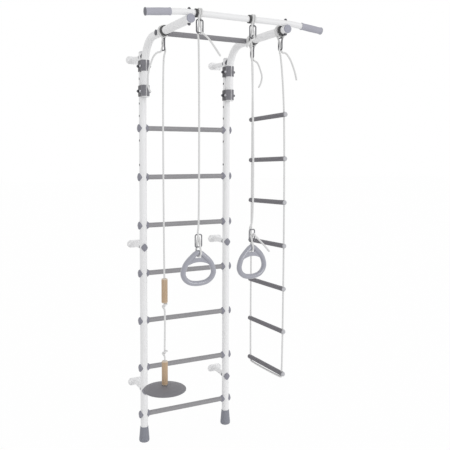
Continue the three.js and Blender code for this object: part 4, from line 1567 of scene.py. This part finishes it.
@dataclass
class HangerFittings(SubAssembly):
    """The rubber sleeves beside the windings and the links under them."""

    bodies: dict[str, str] = field(default_factory=lambda: {
        "disc_rope": "disc_swing", "left_ring_rope": "left_ring_hanger", "right_ring_rope": "right_ring_hanger",
        "ladder_back": "rope_ladder", "ladder_front": "rope_ladder",
    })
    arm_sleeve: float = 0.016
    bar_sleeve: float = 0.010
    sleeve_wall: float = 0.0052
    groove: float = 0.0007
    shoulder: float = 0.0012

    def sleeve(self, hanger: Hanger) -> Piece:
        """A rubber ring with rounded shoulders and two shallow grooves.

        Args:
            hanger: The hanger that it sits beside.

        Returns:
            The sleeve in its place.
        """
        inner = hanger.tube_radius + self.plan.fit
        outer = hanger.tube_radius + self.sleeve_wall
        half = (self.bar_sleeve if hanger.along is Along.X else self.arm_sleeve) / 2
        above = [(outer, half * 0.2), (outer - self.groove, half * 0.28), (outer, half * 0.36),
                 (outer, half * 0.6), (outer - self.shoulder * 0.25, half - self.shoulder),
                 (outer - self.shoulder * 1.17, half), (inner, half)]
        below = [(radius, -height) for radius, height in reversed(above)]
        piece = Bench.turned(below + above, FINE, bored=True, shade=DOMED)
        centre = hanger.line - hanger.winding()[4] / 2 - self.plan.rope_radius - ROPE_GAP - half
        if hanger.along is Along.X:
            return Bench.put(piece, (centre, hanger.across, hanger.height), RIGHT)
        return Bench.put(piece, (hanger.across, centre, hanger.height), (0, 1, 0))

    def build(self) -> None:
        """Fit a sleeve and a link at each hanger."""
        wire = LINK.shape()
        for name, hanger in HANGERS.items():
            self.dress(self.sleeve(hanger), f"{name}_rubber", Paint.SLEEVE, FRAME_BODY, [f"{name}_sleeve"])
            height = hanger.height - hanger.link_drop - LINK.height / 2
            at = hanger.world(0, 0, height - hanger.height)
            turn = 0.0 if hanger.along is Along.X else math.pi / 2
            # painted shade: these links take the darker copy of the link wire
            self.fit(wire, f"{name}_wire", Paint.LINK, self.bodies[name], f"{name}_link", at, spin=turn)
        Bench.scrap(wire)


def shifted(steps: Sequence[Point], start: Vector) -> list[Vector]:
    """Places given in millimetres from a start, as the tails of ropes are."""
    return [start + Vector(step) / MILLIMETRES for step in steps]


@dataclass(frozen=True)
class RingSet:
    """One ring with its link and rope, on its own standing line."""

    hanger: Hanger
    x: float
    top: float
    turn: float
    front: int
    tail: tuple[Point, ...]
    end: tuple[Point, ...]
    section: float = 0.022
    link_above: float = 0.071
    apex_steps: int = 12

    def world(self, u: float, v: float, w: float) -> Vector:
        """Turn a place square to the ring, along it and up from its apex into the frame's.

        Args:
            u: Square to the ring.
            v: Along the ring.
            w: Up from the ring's apex.

        Returns:
            The place in the frame.
        """
        turn = math.radians(self.turn)
        middle = Vector((self.x, -PLAN.bar_depth, self.top - self.section / 2 + w))
        along, square = Vector((math.cos(turn), math.sin(turn), 0)), Vector((math.sin(turn), -math.cos(turn), 0))
        return middle + along * v + square * u

    def loop(self) -> list[Vector]:
        """Down through the link, round the ring's apex and back into the link.

        Returns:
            The line's points.
        """
        top = self.link_above - LINK.wire / 2 + self.section / 2
        bottom = top - LINK.height + LINK.wire
        middle = (top + bottom) / 2
        wrap = self.section / 2 + PLAN.rope_radius + ROPE_GAP * 2
        local = [
            (0, 0, top + LINK.width), (-PASS_OFFSET * PASS_SHARE, -STRAND_OFFSET, top + LINK.wire * 2),
            (-PASS_OFFSET, -STRAND_OFFSET, top), (0, -STRAND_OFFSET, middle),
            (PASS_OFFSET, -STRAND_OFFSET, bottom),
        ]
        for i in range(self.apex_steps + 1):
            turn = -math.pi * i / self.apex_steps
            local.append((wrap * math.cos(turn), -STRAND_OFFSET * math.cos(turn), wrap * math.sin(turn)))
        local += [(-PASS_OFFSET, STRAND_OFFSET, bottom), (0, STRAND_OFFSET, middle)]
        return [self.world(self.front * u, v, w) for u, v, w in local]


RING_SETS = {
    "left": RingSet(
        HANGERS["left_ring_rope"], -0.196, 1.099, 0.0, -1,
        ((8, -3, -5), (32, -6, -25), (58, -8, -57), (87, -8, -94)),
        ((-1, 9, 14), (2, 14, 12), (6, 17, -4), (9, 18, -24)),
    ),
    "right": RingSet(
        HANGERS["right_ring_rope"], 0.071, 1.107, 10.0, 1,
        ((-6, -3, -6), (-20, -6, -14), (-34, -8, -30), (-44, -8, -46)),
        ((1, -10, 9), (1, -15, 4), (17, -19, -14), (46, -20, -43), (77, -20, -77)),
    ),
}


@dataclass(frozen=True)
class DiscSizes:
    """Heights and sizes of what hangs on the disc rope."""

    top: float = 0.404
    diameter: float = 0.206
    rise: float = 0.018
    wall: float = 0.005
    hub: float = 0.015
    handle_radius: float = 0.0146
    handle_length: float = 0.119
    upper_top: float = 0.924
    lower_top: float = 0.524
    free_knot: float = 0.564


DISC = DiscSizes()
DISC_STEPS = (0.3, 0.42, 0.54, 0.66, 0.78, 0.88, 0.95)
DISC_TAIL = (
    (-6, 0, -7), (-20, 0, -11), (-37, 0, -27), (-50, 0, -55), (-61, 0, -86), (-68, 0, -130), (-67, 0, -168),
    (-55, 0, -196),
)
KNOT_SHARES = (
    (0, 0, 1.9), (0, 0, 0.7), (0, -0.05, -0.35), (-0.57, -0.05, -0.95), (-1.15, -0.1, -0.4), (-1.0, -0.66, 0.3),
    (-0.2, -1.15, 0.75), (0.78, -0.86, 0.85), (1.16, 0, 0.7), (0.8, 0.86, 0.3), (-0.05, 1.18, -0.35),
    (-0.42, 1.02, -1.15), (-0.12, 0.42, -1.85), (0, 0, -2.5),
)


@dataclass(frozen=True)
class LadderSizes:
    """Sizes of the rope ladder."""

    count: int = 7
    first: float = 0.473
    pitch: float = 0.2037
    rung_radius: float = 0.011
    length: float = 0.324
    front: float = 0.599
    plug: float = 0.005
    edge: float = 0.0006
    sunk: float = 0.004
    seat: float = 0.0001
    rope_bend: float = 1.6
    bend_share: float = 0.3
    tilt: float = 1.76
    inset: float = 0.014

    @property
    def back(self) -> float:
        """How far the rungs' back ends stand from the uprights' plane."""
        return self.front - self.length

    @property
    def direction(self) -> Vector:
        """Where the rungs' front ends point."""
        return Vector((0, -math.cos(math.radians(self.tilt)), math.sin(math.radians(self.tilt))))

    def height(self, i: int) -> float:
        """Height of a rung's middle."""
        return self.first + i * self.pitch


LADDER = LadderSizes()
BACK_TAIL = ((6, 0, -12), (25, 0, -22), (44, 0, -59), (53, 0, -89), (47, 0, -122), (34, 0, -147))
FRONT_TAIL = ((7, 0, -9), (27, 0, -13), (49, 0, -36), (67, 0, -70), (80, 0, -104), (88, 0, -134))


class RopeRoutes:
    """The centre lines of the four ropes, as the model's source lays them."""

    @staticmethod
    def ring(ring_set: RingSet) -> tuple[list[Vector], list[Vector]]:
        """The ring rope's tail and the rest of it, which both start at the hanger's link.

        Args:
            ring_set: The ring with its link and rope.

        Returns:
            The tail's points and the rest's.
        """
        upper = ring_set.hanger.route()
        lower = ring_set.loop()
        tail = shifted(ring_set.tail, upper[-1])
        return tail, upper[::-1] + lower + shifted(ring_set.end, lower[-1])

    @staticmethod
    def disc() -> tuple[list[Vector], list[Vector]]:
        """The disc rope's tail and the rest of it with its three knots.

        Returns:
            The tail's points and the rest's.
        """
        upper = HANGERS["disc_rope"].route()
        across = PLAN.rope_radius * 2
        x, y = HANGERS["disc_rope"].across, HANGERS["disc_rope"].line - STRAND_OFFSET
        rise = max(share[2] for share in KNOT_SHARES[2:]) * across + PLAN.rope_radius + PLAN.fit
        rest = upper[::-1]
        under_handle, under_disc = DISC.upper_top - DISC.handle_length, DISC.top - DISC.hub
        for height in (under_handle - rise, DISC.free_knot, under_disc - rise):
            rest += [Vector((x, y, height)) + Vector(share) * across for share in KNOT_SHARES]
        return shifted(DISC_TAIL, upper[-1]), rest

    @staticmethod
    def ladder() -> tuple[list[Vector], list[Vector], list[Vector]]:
        """The ladder rope's back tail, the rest of it and its front tail.

        Returns:
            The points of the back tail, of the rest and of the front tail.
        """
        back, front = HANGERS["ladder_back"].route(), HANGERS["ladder_front"].route()
        x = PLAN.half_spacing
        above = LADDER.height(LADDER.count - 1) + LADDER.rung_radius * 2
        lean = math.sin(math.radians(LADDER.tilt)) * LADDER.length / 2
        bend = PLAN.rope_radius * LADDER.rope_bend
        under = LADDER.first - LADDER.rung_radius - PLAN.fit * 2 - bend
        back_line, front_line = -LADDER.back - LADDER.inset, -LADDER.front + LADDER.inset
        low, high = under - lean, under + lean
        share = LADDER.bend_share
        down = [Vector((x, back_line, above)), Vector((x, back_line, low + bend)),
                Vector((x, back_line - bend * share, low + bend * share)), Vector((x, back_line - bend, low))]
        up = [Vector((x, front_line + bend, high)), Vector((x, front_line + bend * share, high + bend * share)),
              Vector((x, front_line, high + bend)), Vector((x, front_line, above))]
        rest = back[::-1] + down + up + front
        return shifted(BACK_TAIL, back[-1]), rest, shifted(FRONT_TAIL, front[-1])


FINE_STEP = 0.0012


class Spline:
    """A smooth line through a rope's points, measured along its length."""

    def __init__(self, points: Sequence[Vector]) -> None:
        """Lay the line, with a finer step than the plait needs.

        Args:
            points: The points that it passes through.
        """
        self.spots = self._smoothed(list(points))
        self.at = [0.0]
        for before, after in zip(self.spots, self.spots[1:]):
            self.at.append(self.at[-1] + (after - before).length)

    @staticmethod
    def _smoothed(points: list[Vector]) -> list[Vector]:
        """Centripetal interpolation through the points.

        Args:
            points: The points that it passes through.

        Returns:
            Closely spaced points of the line.
        """
        ends = [points[0] * 2 - points[1], *points, points[-1] * 2 - points[-2]]
        spots = [points[0].copy()]
        for i in range(1, len(ends) - 2):
            a, b, c, d = ends[i - 1:i + 3]
            times = [0.0]
            for first, second in ((a, b), (b, c), (c, d)):
                times.append(times[-1] + max((second - first).length, NO_LENGTH) ** 0.5)
            t0, t1, t2, t3 = times
            count = max(1, math.ceil((c - b).length / FINE_STEP))
            for step in range(1, count + 1):
                t = t1 + (t2 - t1) * step / count
                ab = a * ((t1 - t) / (t1 - t0)) + b * ((t - t0) / (t1 - t0))
                bc = b * ((t2 - t) / (t2 - t1)) + c * ((t - t1) / (t2 - t1))
                cd = c * ((t3 - t) / (t3 - t2)) + d * ((t - t2) / (t3 - t2))
                abc = ab * ((t2 - t) / (t2 - t0)) + bc * ((t - t0) / (t2 - t0))
                bcd = bc * ((t3 - t) / (t3 - t1)) + cd * ((t - t1) / (t3 - t1))
                spots.append(abc * ((t2 - t) / (t2 - t1)) + bcd * ((t - t1) / (t2 - t1)))
        return spots

    @property
    def length(self) -> float:
        """The line's whole length."""
        return self.at[-1]

    def spaced(self, start: float, end: float, step: float) -> list[Vector]:
        """Points at an even step from one distance to another.

        Args:
            start: Distance of the first point.
            end: Distance of the last point.
            step: The longest step.

        Returns:
            The points.
        """
        count = max(2, math.ceil((end - start) / step))
        found, i = [], 0
        for n in range(count + 1):
            goal = start + (end - start) * n / count
            while i < len(self.at) - 2 and self.at[i + 1] < goal:
                i += 1
            share = (goal - self.at[i]) / max(self.at[i + 1] - self.at[i], NO_LENGTH)
            found.append(self.spots[i].lerp(self.spots[i + 1], min(max(share, 0.0), 1.0)))
        return found


@dataclass
class Ropes(SubAssembly):
    """The plaited ropes, each stretch a closed tube with its strands in relief."""

    step: float = 0.0017
    sides: int = 20
    strands: int = 4
    plait_pitch: float = 0.011
    relief: float = 0.16
    end_round: float = 0.0016
    end_share: float = 0.55

    def tube(self, line: list[Vector], phase: float, capped: tuple[bool, bool]) -> Piece:
        """Build one stretch of plaited rope.

        Args:
            line: Evenly spaced centre points.
            phase: Distance along the whole rope at which this stretch starts.
            capped: Whether the start and the end are loose ends, which are melted round.

        Returns:
            The tube, with a UV map named route and a plait attribute.
        """
        radius = self.plan.rope_radius
        around = [line[0], *line, line[-1]]
        tangents = [(after - before).normalized() for before, after in zip(around, around[2:])]
        side = tangents[0].orthogonal().normalized()
        step = (line[1] - line[0]).length
        vertices: list[Vector] = []
        heights: list[float] = []
        for i, (spot, tangent) in enumerate(zip(line, tangents)):
            side = (side - tangent * side.dot(tangent)).normalized()
            other = tangent.cross(side)
            travelled = phase + i * step
            shrink = 1.0
            for wanted, reach in ((capped[0], i * step), (capped[1], (len(line) - 1 - i) * step)):
                if wanted and reach < self.end_round * 2:
                    rounded = math.sin(math.pi / 2 * reach / (self.end_round * 2))
                    shrink = min(shrink, self.end_share + (1 - self.end_share) * rounded)
            for j in range(self.sides):
                turn = 2 * math.pi * j / self.sides
                wave = math.pi * travelled / self.plait_pitch
                first = abs(math.sin(self.strands * turn / 2 + wave))
                second = abs(math.sin(self.strands * turn / 2 - wave))
                high = math.sqrt(first * second)
                out = radius * shrink * (1 - self.relief * (1 - high))
                vertices.append(spot + (side * math.cos(turn) + other * math.sin(turn)) * out)
                heights.append(high)
        faces: list[tuple[int, ...]] = []
        for i in range(len(line) - 1):
            for j in range(self.sides):
                a, b = i * self.sides + j, i * self.sides + (j + 1) % self.sides
                faces.append((a, b, b + self.sides, a + self.sides))
        faces.append(tuple(reversed(range(self.sides))))
        last = (len(line) - 1) * self.sides
        faces.append(tuple(range(last, last + self.sides)))
        mesh = bpy.data.meshes.new("rope")
        mesh.from_pydata([tuple(v) for v in vertices], [], faces)
        self._measure(mesh, heights, phase, step)
        piece = bpy.data.objects.new("rope", mesh)
        bpy.context.collection.objects.link(piece)
        Bench.smooth(piece, 60)
        return piece

    def _measure(self, mesh: bpy.types.Mesh, heights: list[float], phase: float, step: float) -> None:
        """Write the distance along the rope and round it as a UV map, and the plait's height.

        Args:
            mesh: The stretch's mesh.
            heights: The plait's height at each point.
            phase: Distance along the whole rope at which the stretch starts.
            step: Distance from one ring of points to the next.
        """
        route = mesh.uv_layers.new(name="route")
        for polygon in mesh.polygons:
            columns = [mesh.loops[k].vertex_index % self.sides for k in polygon.loop_indices]
            wraps = max(columns) == self.sides - 1 and min(columns) == 0 and len(columns) == 4
            for k, column in zip(polygon.loop_indices, columns):
                row = mesh.loops[k].vertex_index // self.sides
                turned = column + self.sides if wraps and column == 0 else column
                route.data[k].uv = (phase + row * step, 2 * math.pi * turned / self.sides)
        plait = mesh.attributes.new("plait", "FLOAT", "POINT")
        plait.data.foreach_set("value", heights)

    def lay(self, name: str, points: Sequence[Vector], phase: float, body: str, nodes: Sequence[str],
            loose: tuple[bool, bool], far_end: str) -> float:
        """Args:
            name: The stretch's name.
            points: Its centre points, from where it leaves the object.
            phase: Distance along the whole rope at which it starts.
            body: The body it rides on.
            nodes: The nodes it stands for.
            loose: Whether its start and end are loose ends.
            far_end: What is on its far end; not used.

        Returns:
            The stretch's length.
        """
        spline = Spline(points)
        line = spline.spaced(0.0, spline.length, self.step)
        piece = self.tube(line, phase, loose)
        self.dress(piece, name, Paint.CORD, body, nodes)
        log.info("%s: %.0f mm of rope", name, spline.length * MILLIMETRES)
        return spline.length

    def build(self) -> None:
        """Lay all four ropes with their tails."""
        for word, ring_set in RING_SETS.items():
            tail, rest = RopeRoutes.ring(ring_set)
            body = f"{word}_ring_hanger"
            self.lay(f"{word}_ring_cord", rest, 0.0, body, [f"{word}_ring_rope"], (False, True), "bare")
            self.lay(f"{word}_ring_cord_tail", [rest[0], *tail], 0.0, body, [], (False, True), "bare")
        tail, rest = RopeRoutes.disc()
        self.lay("disc_cord", rest, 0.0, "disc_swing", ["disc_swing_rope"], (False, True), "knot")
        self.lay("disc_cord_tail", [rest[0], *tail], 0.0, "disc_swing", [], (False, True), "bare")
        back, rest, front = RopeRoutes.ladder()
        run = self.lay("ladder_cord", rest, 0.0, "rope_ladder", ["ladder_rope"], (False, False), "object")
        self.lay("ladder_cord_back_tail", [rest[0], *back], 0.0, "rope_ladder", [], (False, True), "bare")
        self.lay("ladder_cord_front_tail", [rest[-1], *front], run, "rope_ladder", [], (False, True), "bare")


# ---------------------------------------------------------------- what hangs on the ropes


@dataclass
class GymRings(SubAssembly):
    """The moulded rings with their webs, and the links over them."""

    width: float = 0.167
    height: float = 0.157
    section: float = 0.022
    bulge: float = 0.0008
    web: float = 0.0065
    web_top: float = 0.034
    web_bottom: float = 0.053
    slot: float = 0.030
    width_shares: tuple[float, ...] = (0, 0.17, 0.43, 0.645, 0.835, 0.955, 1, 0.99, 0.865, 0.56, 0.19)
    height_shares: tuple[float, ...] = (1, 0.972, 0.862, 0.757, 0.632, 0.483, 0.38, 0.29, 0.16, 0.042, 0)
    web_curve: float = 0.62
    voxel: float = 0.0012
    melting: int = 5

    def centre_line(self) -> list[Vector]:
        """The ring's closed centre line, with its apex at the origin.

        Returns:
            The line's points.
        """
        half, tall = (self.width - self.section) / 2, self.height - self.section
        shares = zip(self.width_shares, self.height_shares)
        right = [Vector((half * across, 0, tall * (up - 1))) for across, up in shares]
        left = [Vector((-p.x, 0, p.z)) for p in reversed(right[1:])]
        around = right + left
        spline = Spline([around[-1], *around, around[0], around[1]])
        turns = [i for i, spot in enumerate(spline.spots) if (spot - around[0]).length < SAME_PLACE]
        return spline.spots[turns[0]:turns[-1]:3]

    def ring(self) -> Piece:
        """The ring with its web, melted together so that the web flows into the bar.

        Returns:
            The ring, with its apex at the origin.
        """
        line = self.centre_line()
        bar = Bench.swept(line, self.section / 2 + self.bulge, 32, closed=True)
        Bench.clear()
        bpy.ops.mesh.primitive_circle_add(vertices=len(line), radius=1, fill_type="NGON")
        web = bpy.context.object
        for vertex, spot in zip(web.data.vertices, line):
            vertex.co = (spot.x, -self.web / 2, spot.z)
        Bench.edit(web)
        bpy.ops.mesh.extrude_region_move(TRANSFORM_OT_translate={"value": (0, self.web, 0)})
        Bench.outward()
        drop, deep = self.section / 2, self.section
        slot = Bench.block((-self.slot / 2, -deep, drop - self.web_top), (self.slot / 2, deep, 0))
        reach = self.width * self.web_curve
        middle = drop - self.web_bottom - reach
        Bench.cut(web, slot, Bench.rod((0, -deep, middle), (0, deep, middle), reach, 96))
        Bench.cut(web, bar, operation="UNION")
        Bench.apply(web, "REMESH", mode="VOXEL", voxel_size=self.voxel, use_smooth_shade=True)
        Bench.apply(web, "SMOOTH", factor=0.5, iterations=self.melting)
        Bench.smooth(web, 60)
        return web

    def build(self) -> None:
        """Hang a ring and its link on each rope."""
        ring = self.ring()
        wire = LINK.shape()
        for word, ring_set in RING_SETS.items():
            name, turn = f"{word}_ring", math.radians(ring_set.turn)
            apex = (ring_set.x, -self.plan.bar_depth, ring_set.top - self.section / 2)
            self.fit(ring, f"{name}_moulding", Paint.RING, name, f"{word}_gym_ring", apex, spin=turn)
            above = (*apex[:2], ring_set.top + ring_set.link_above - LINK.height / 2)
            self.fit(wire, f"{name}_wire", Paint.RING_LINK, f"{name}_hanger", f"{name}_link", above,
                     spin=turn)
        Bench.scrap(ring, wire)


@dataclass
class DiscSwing(SubAssembly):
    """The wooden handles and the disc seat."""

    sizes: DiscSizes = DISC
    soft_share: float = 0.32
    corner_share: float = 0.3
    edge: float = 0.0006
    dome_power: float = 2.1

    def handle(self) -> Piece:
        """A turned handle with rounded ends and a bore, hanging down from the origin.

        Returns:
            The handle.
        """
        bore = self.plan.rope_radius + self.plan.fit
        radius, long = self.sizes.handle_radius, self.sizes.handle_length
        soft = radius * self.soft_share
        corner = soft * self.corner_share
        above = [(radius, -soft), (radius - corner, -corner), (radius - soft, 0), (bore, 0)]
        below = [(across, -long - height) for across, height in reversed(above)]
        piece = Bench.turned(below + above, FINE, bored=True)
        Bench.soften(piece, self.edge, 2, 40)
        Bench.mark(piece, lambda spot: not soft - long < spot.z < -soft)
        return piece

    def disc(self) -> Piece:
        """The shallow dome with a rolled rim, a boss on top and a hub below, at the origin's height.

        Returns:
            The disc.
        """
        s = self.sizes
        bore = self.plan.rope_radius + self.plan.fit
        rim, fall, wall = s.diameter / 2, s.rise, s.wall
        top = [(rim * share, -fall * share ** self.dome_power) for share in DISC_STEPS]
        piece = Bench.turned([
            (bore, 0), *scaled(((0.16, 0), (0.19, 0.035), (0.22, 0.05)), rim, -fall), *top,
            *scaled(((0.985, 0.98), (1, 1.08)), rim, -fall),
            *scaled(((1, 0.75), (0.985, 1), (0.965, 1)), rim, -wall, -fall),
            *((radius, height - wall) for radius, height in reversed(top)),
            *scaled(((0.22, 1.1), (0.2, 1.3)), rim, -wall), (rim * 0.18, -s.hub), (bore, -s.hub),
        ], 2 * FINE, bored=True, shade=40)
        return piece

    def build(self) -> None:
        """Thread the handles and the disc on the rope's line."""
        x, y = HANGERS["disc_rope"].across, HANGERS["disc_rope"].line - STRAND_OFFSET
        handle, disc = self.handle(), self.disc()
        for word, top in (("upper", self.sizes.upper_top), ("lower", self.sizes.lower_top)):
            self.fit(handle, f"{word}_handle_turning", Paint.WOOD, f"{word}_handle", f"{word}_rope_handle",
                     (x, y, top))
        self.fit(disc, "disc_dome", Paint.DISC, "disc", "disc_seat", (x, y, self.sizes.top))
        Bench.scrap(handle, disc)


RUNG_PLUG_SHARES = ((0.98, 0.2), (0.88, 0.55), (0.6, 0.88), (0.34, 0.97), (0.22, 0.9), (0, 0.78))


@dataclass
class LadderRungs(SubAssembly):
    """The ladder's rungs with their end plugs."""

    sizes: LadderSizes = LADDER

    def rung(self) -> Piece:
        """A rung about its middle, along +Z towards the room, with its two rope holes.

        Returns:
            The rung.
        """
        half, radius, edge = self.sizes.length / 2, self.sizes.rung_radius, self.sizes.edge
        end = [(radius, half - edge), (radius - edge, half), (0, half)]
        piece = Bench.turned([(across, -height) for across, height in reversed(end)] + end)
        Bench.put(piece, (0, 0, 0), self.sizes.direction)
        bore = self.plan.rope_radius + self.plan.fit
        for y in (half - self.sizes.inset, -half + self.sizes.inset):
            Bench.cut(piece, Bench.rod((0, y, -radius * 2), (0, y, radius * 2), bore))
        Bench.smooth(piece)
        return piece

    def plugs(self) -> Piece:
        """Both end plugs: a small domed button with a dimple, inside the rung's rounded end ring.

        Returns:
            Both plugs in one piece.
        """
        half, radius, rise = self.sizes.length / 2, self.sizes.rung_radius, self.sizes.plug
        direction, sunk, seat = self.sizes.direction, self.sizes.sunk, self.sizes.seat
        parts = []
        for sign in (-1, 1):
            button = Bench.turned([(0, -sunk), (radius * 0.8, -sunk), (radius * 0.8, seat), (radius * 0.98, seat),
                                   *scaled(RUNG_PLUG_SHARES, radius, rise)], shade=55)
            parts.append(Bench.put(button, direction * sign * half, direction * sign))
        return Bench.join(*parts)

    def build(self) -> None:
        """Thread all the rungs."""
        rung, plugs = self.rung(), self.plugs()
        middle = -self.sizes.back - self.sizes.length / 2
        for i in range(self.sizes.count):
            name, at = f"ladder_rung_{i + 1}", (self.plan.half_spacing, middle, self.sizes.height(i))
            self.fit(rung, f"{name}_bar", Paint.LADDER, "rope_ladder", name, at)
            self.fit(plugs, f"{name}_plugs", Paint.LADDER_PLUG, "rope_ladder", None, at)
        Bench.scrap(rung, plugs)


# ---------------------------------------------------------------- studio


@dataclass
class Studio:
    """The camera at the photograph's angle, a pale floor and soft light."""

    camera_at: Point = (-1.306, -3.025, 1.5216)
    yaw: float = 26.917
    pitch: float = -3.817
    roll: float = 0.203
    focal_share: float = 618.07 / 450
    sensor: float = 36.0
    centre_share: tuple[float, float] = (224.35 / 450, 194.28 / 450)
    world_light: float = 0.80
    key_light: float = 0.56
    key_from: Point = (1.6, -2.6, 0.7)
    key_softness: float = 30.0
    floor_size: float = 60.0
    floor_drop: float = 0.0005
    floor_white: float = 0.965
    floor_roughness: float = 0.9
    far: float = 200.0

    def camera(self) -> None:
        """Place the camera."""
        data = bpy.data.cameras.new("camera")
        data.sensor_width = self.sensor
        data.sensor_fit = "HORIZONTAL"
        data.lens = self.sensor * self.focal_share
        data.shift_x = 0.5 - self.centre_share[0]
        data.shift_y = self.centre_share[1] - 0.5
        data.clip_end = self.far
        camera = bpy.data.objects.new("camera", data)
        yaw, pitch, roll = (math.radians(v) for v in (self.yaw, self.pitch, self.roll))
        turn = Matrix.Translation(self.camera_at)
        for angle, axis in ((-yaw, "Z"), (math.pi / 2 + pitch, "X"), (roll, "Z")):
            turn = turn @ Matrix.Rotation(angle, 4, axis)
        camera.matrix_world = turn
        bpy.context.collection.objects.link(camera)
        bpy.context.scene.camera = camera

    def floor(self) -> None:
        """A pale floor that keeps the object's shadow."""
        Bench.clear()
        bpy.ops.mesh.primitive_plane_add(size=self.floor_size, location=(0, 0, -self.floor_drop))
        floor = bpy.context.object
        floor.name = "floor"
        graph = Graph("studio_floor")
        graph.set(Base_Color=WHITE, Roughness=self.floor_roughness)
        glow = graph.node("ShaderNodeEmission", {}, {"Color": WHITE, "Strength": 1.0})
        graph.surface(graph.seen() * self.floor_white, graph.shader, glow)
        floor.data.materials.append(graph.material)

    def light(self) -> None:
        """Even light all round and one soft key from the front right."""
        scene = bpy.context.scene
        scene.world = bpy.data.worlds.new("studio")
        tree = Tree(scene.world, "ShaderNodeOutputWorld")
        even, white = (tree.node("ShaderNodeBackground", {}, {"Color": WHITE, "Strength": strength})
                       for strength in (self.world_light, 1.0))
        tree.surface(tree.seen(), even, white)
        data = bpy.data.lights.new("key", "SUN")
        data.energy = self.key_light
        data.angle = math.radians(self.key_softness)
        key = bpy.data.objects.new("key", data)
        key.matrix_world = (-Vector(self.key_from)).to_track_quat("-Z", "Y").to_matrix().to_4x4()
        bpy.context.collection.objects.link(key)
        scene.view_settings.view_transform = "Standard"

    def build(self) -> None:
        """Set up the camera, the floor and the light."""
        self.camera()
        self.floor()
        self.light()


def main() -> None:
    """Build every sub-assembly in order."""
    logging.basicConfig(level=logging.INFO, format="%(message)s")
    Studio().build()
    paints = Paints()
    for assembly in (Ropes, HangerFittings, Uprights, WallBars, WallBrackets, Arms, Crossbar, PullUpBar,
                     GymRings, DiscSwing, LadderRungs):
        log.info("building %s", assembly.__name__)
        assembly(paints).build()


if __name__ == "__main__":
    main()
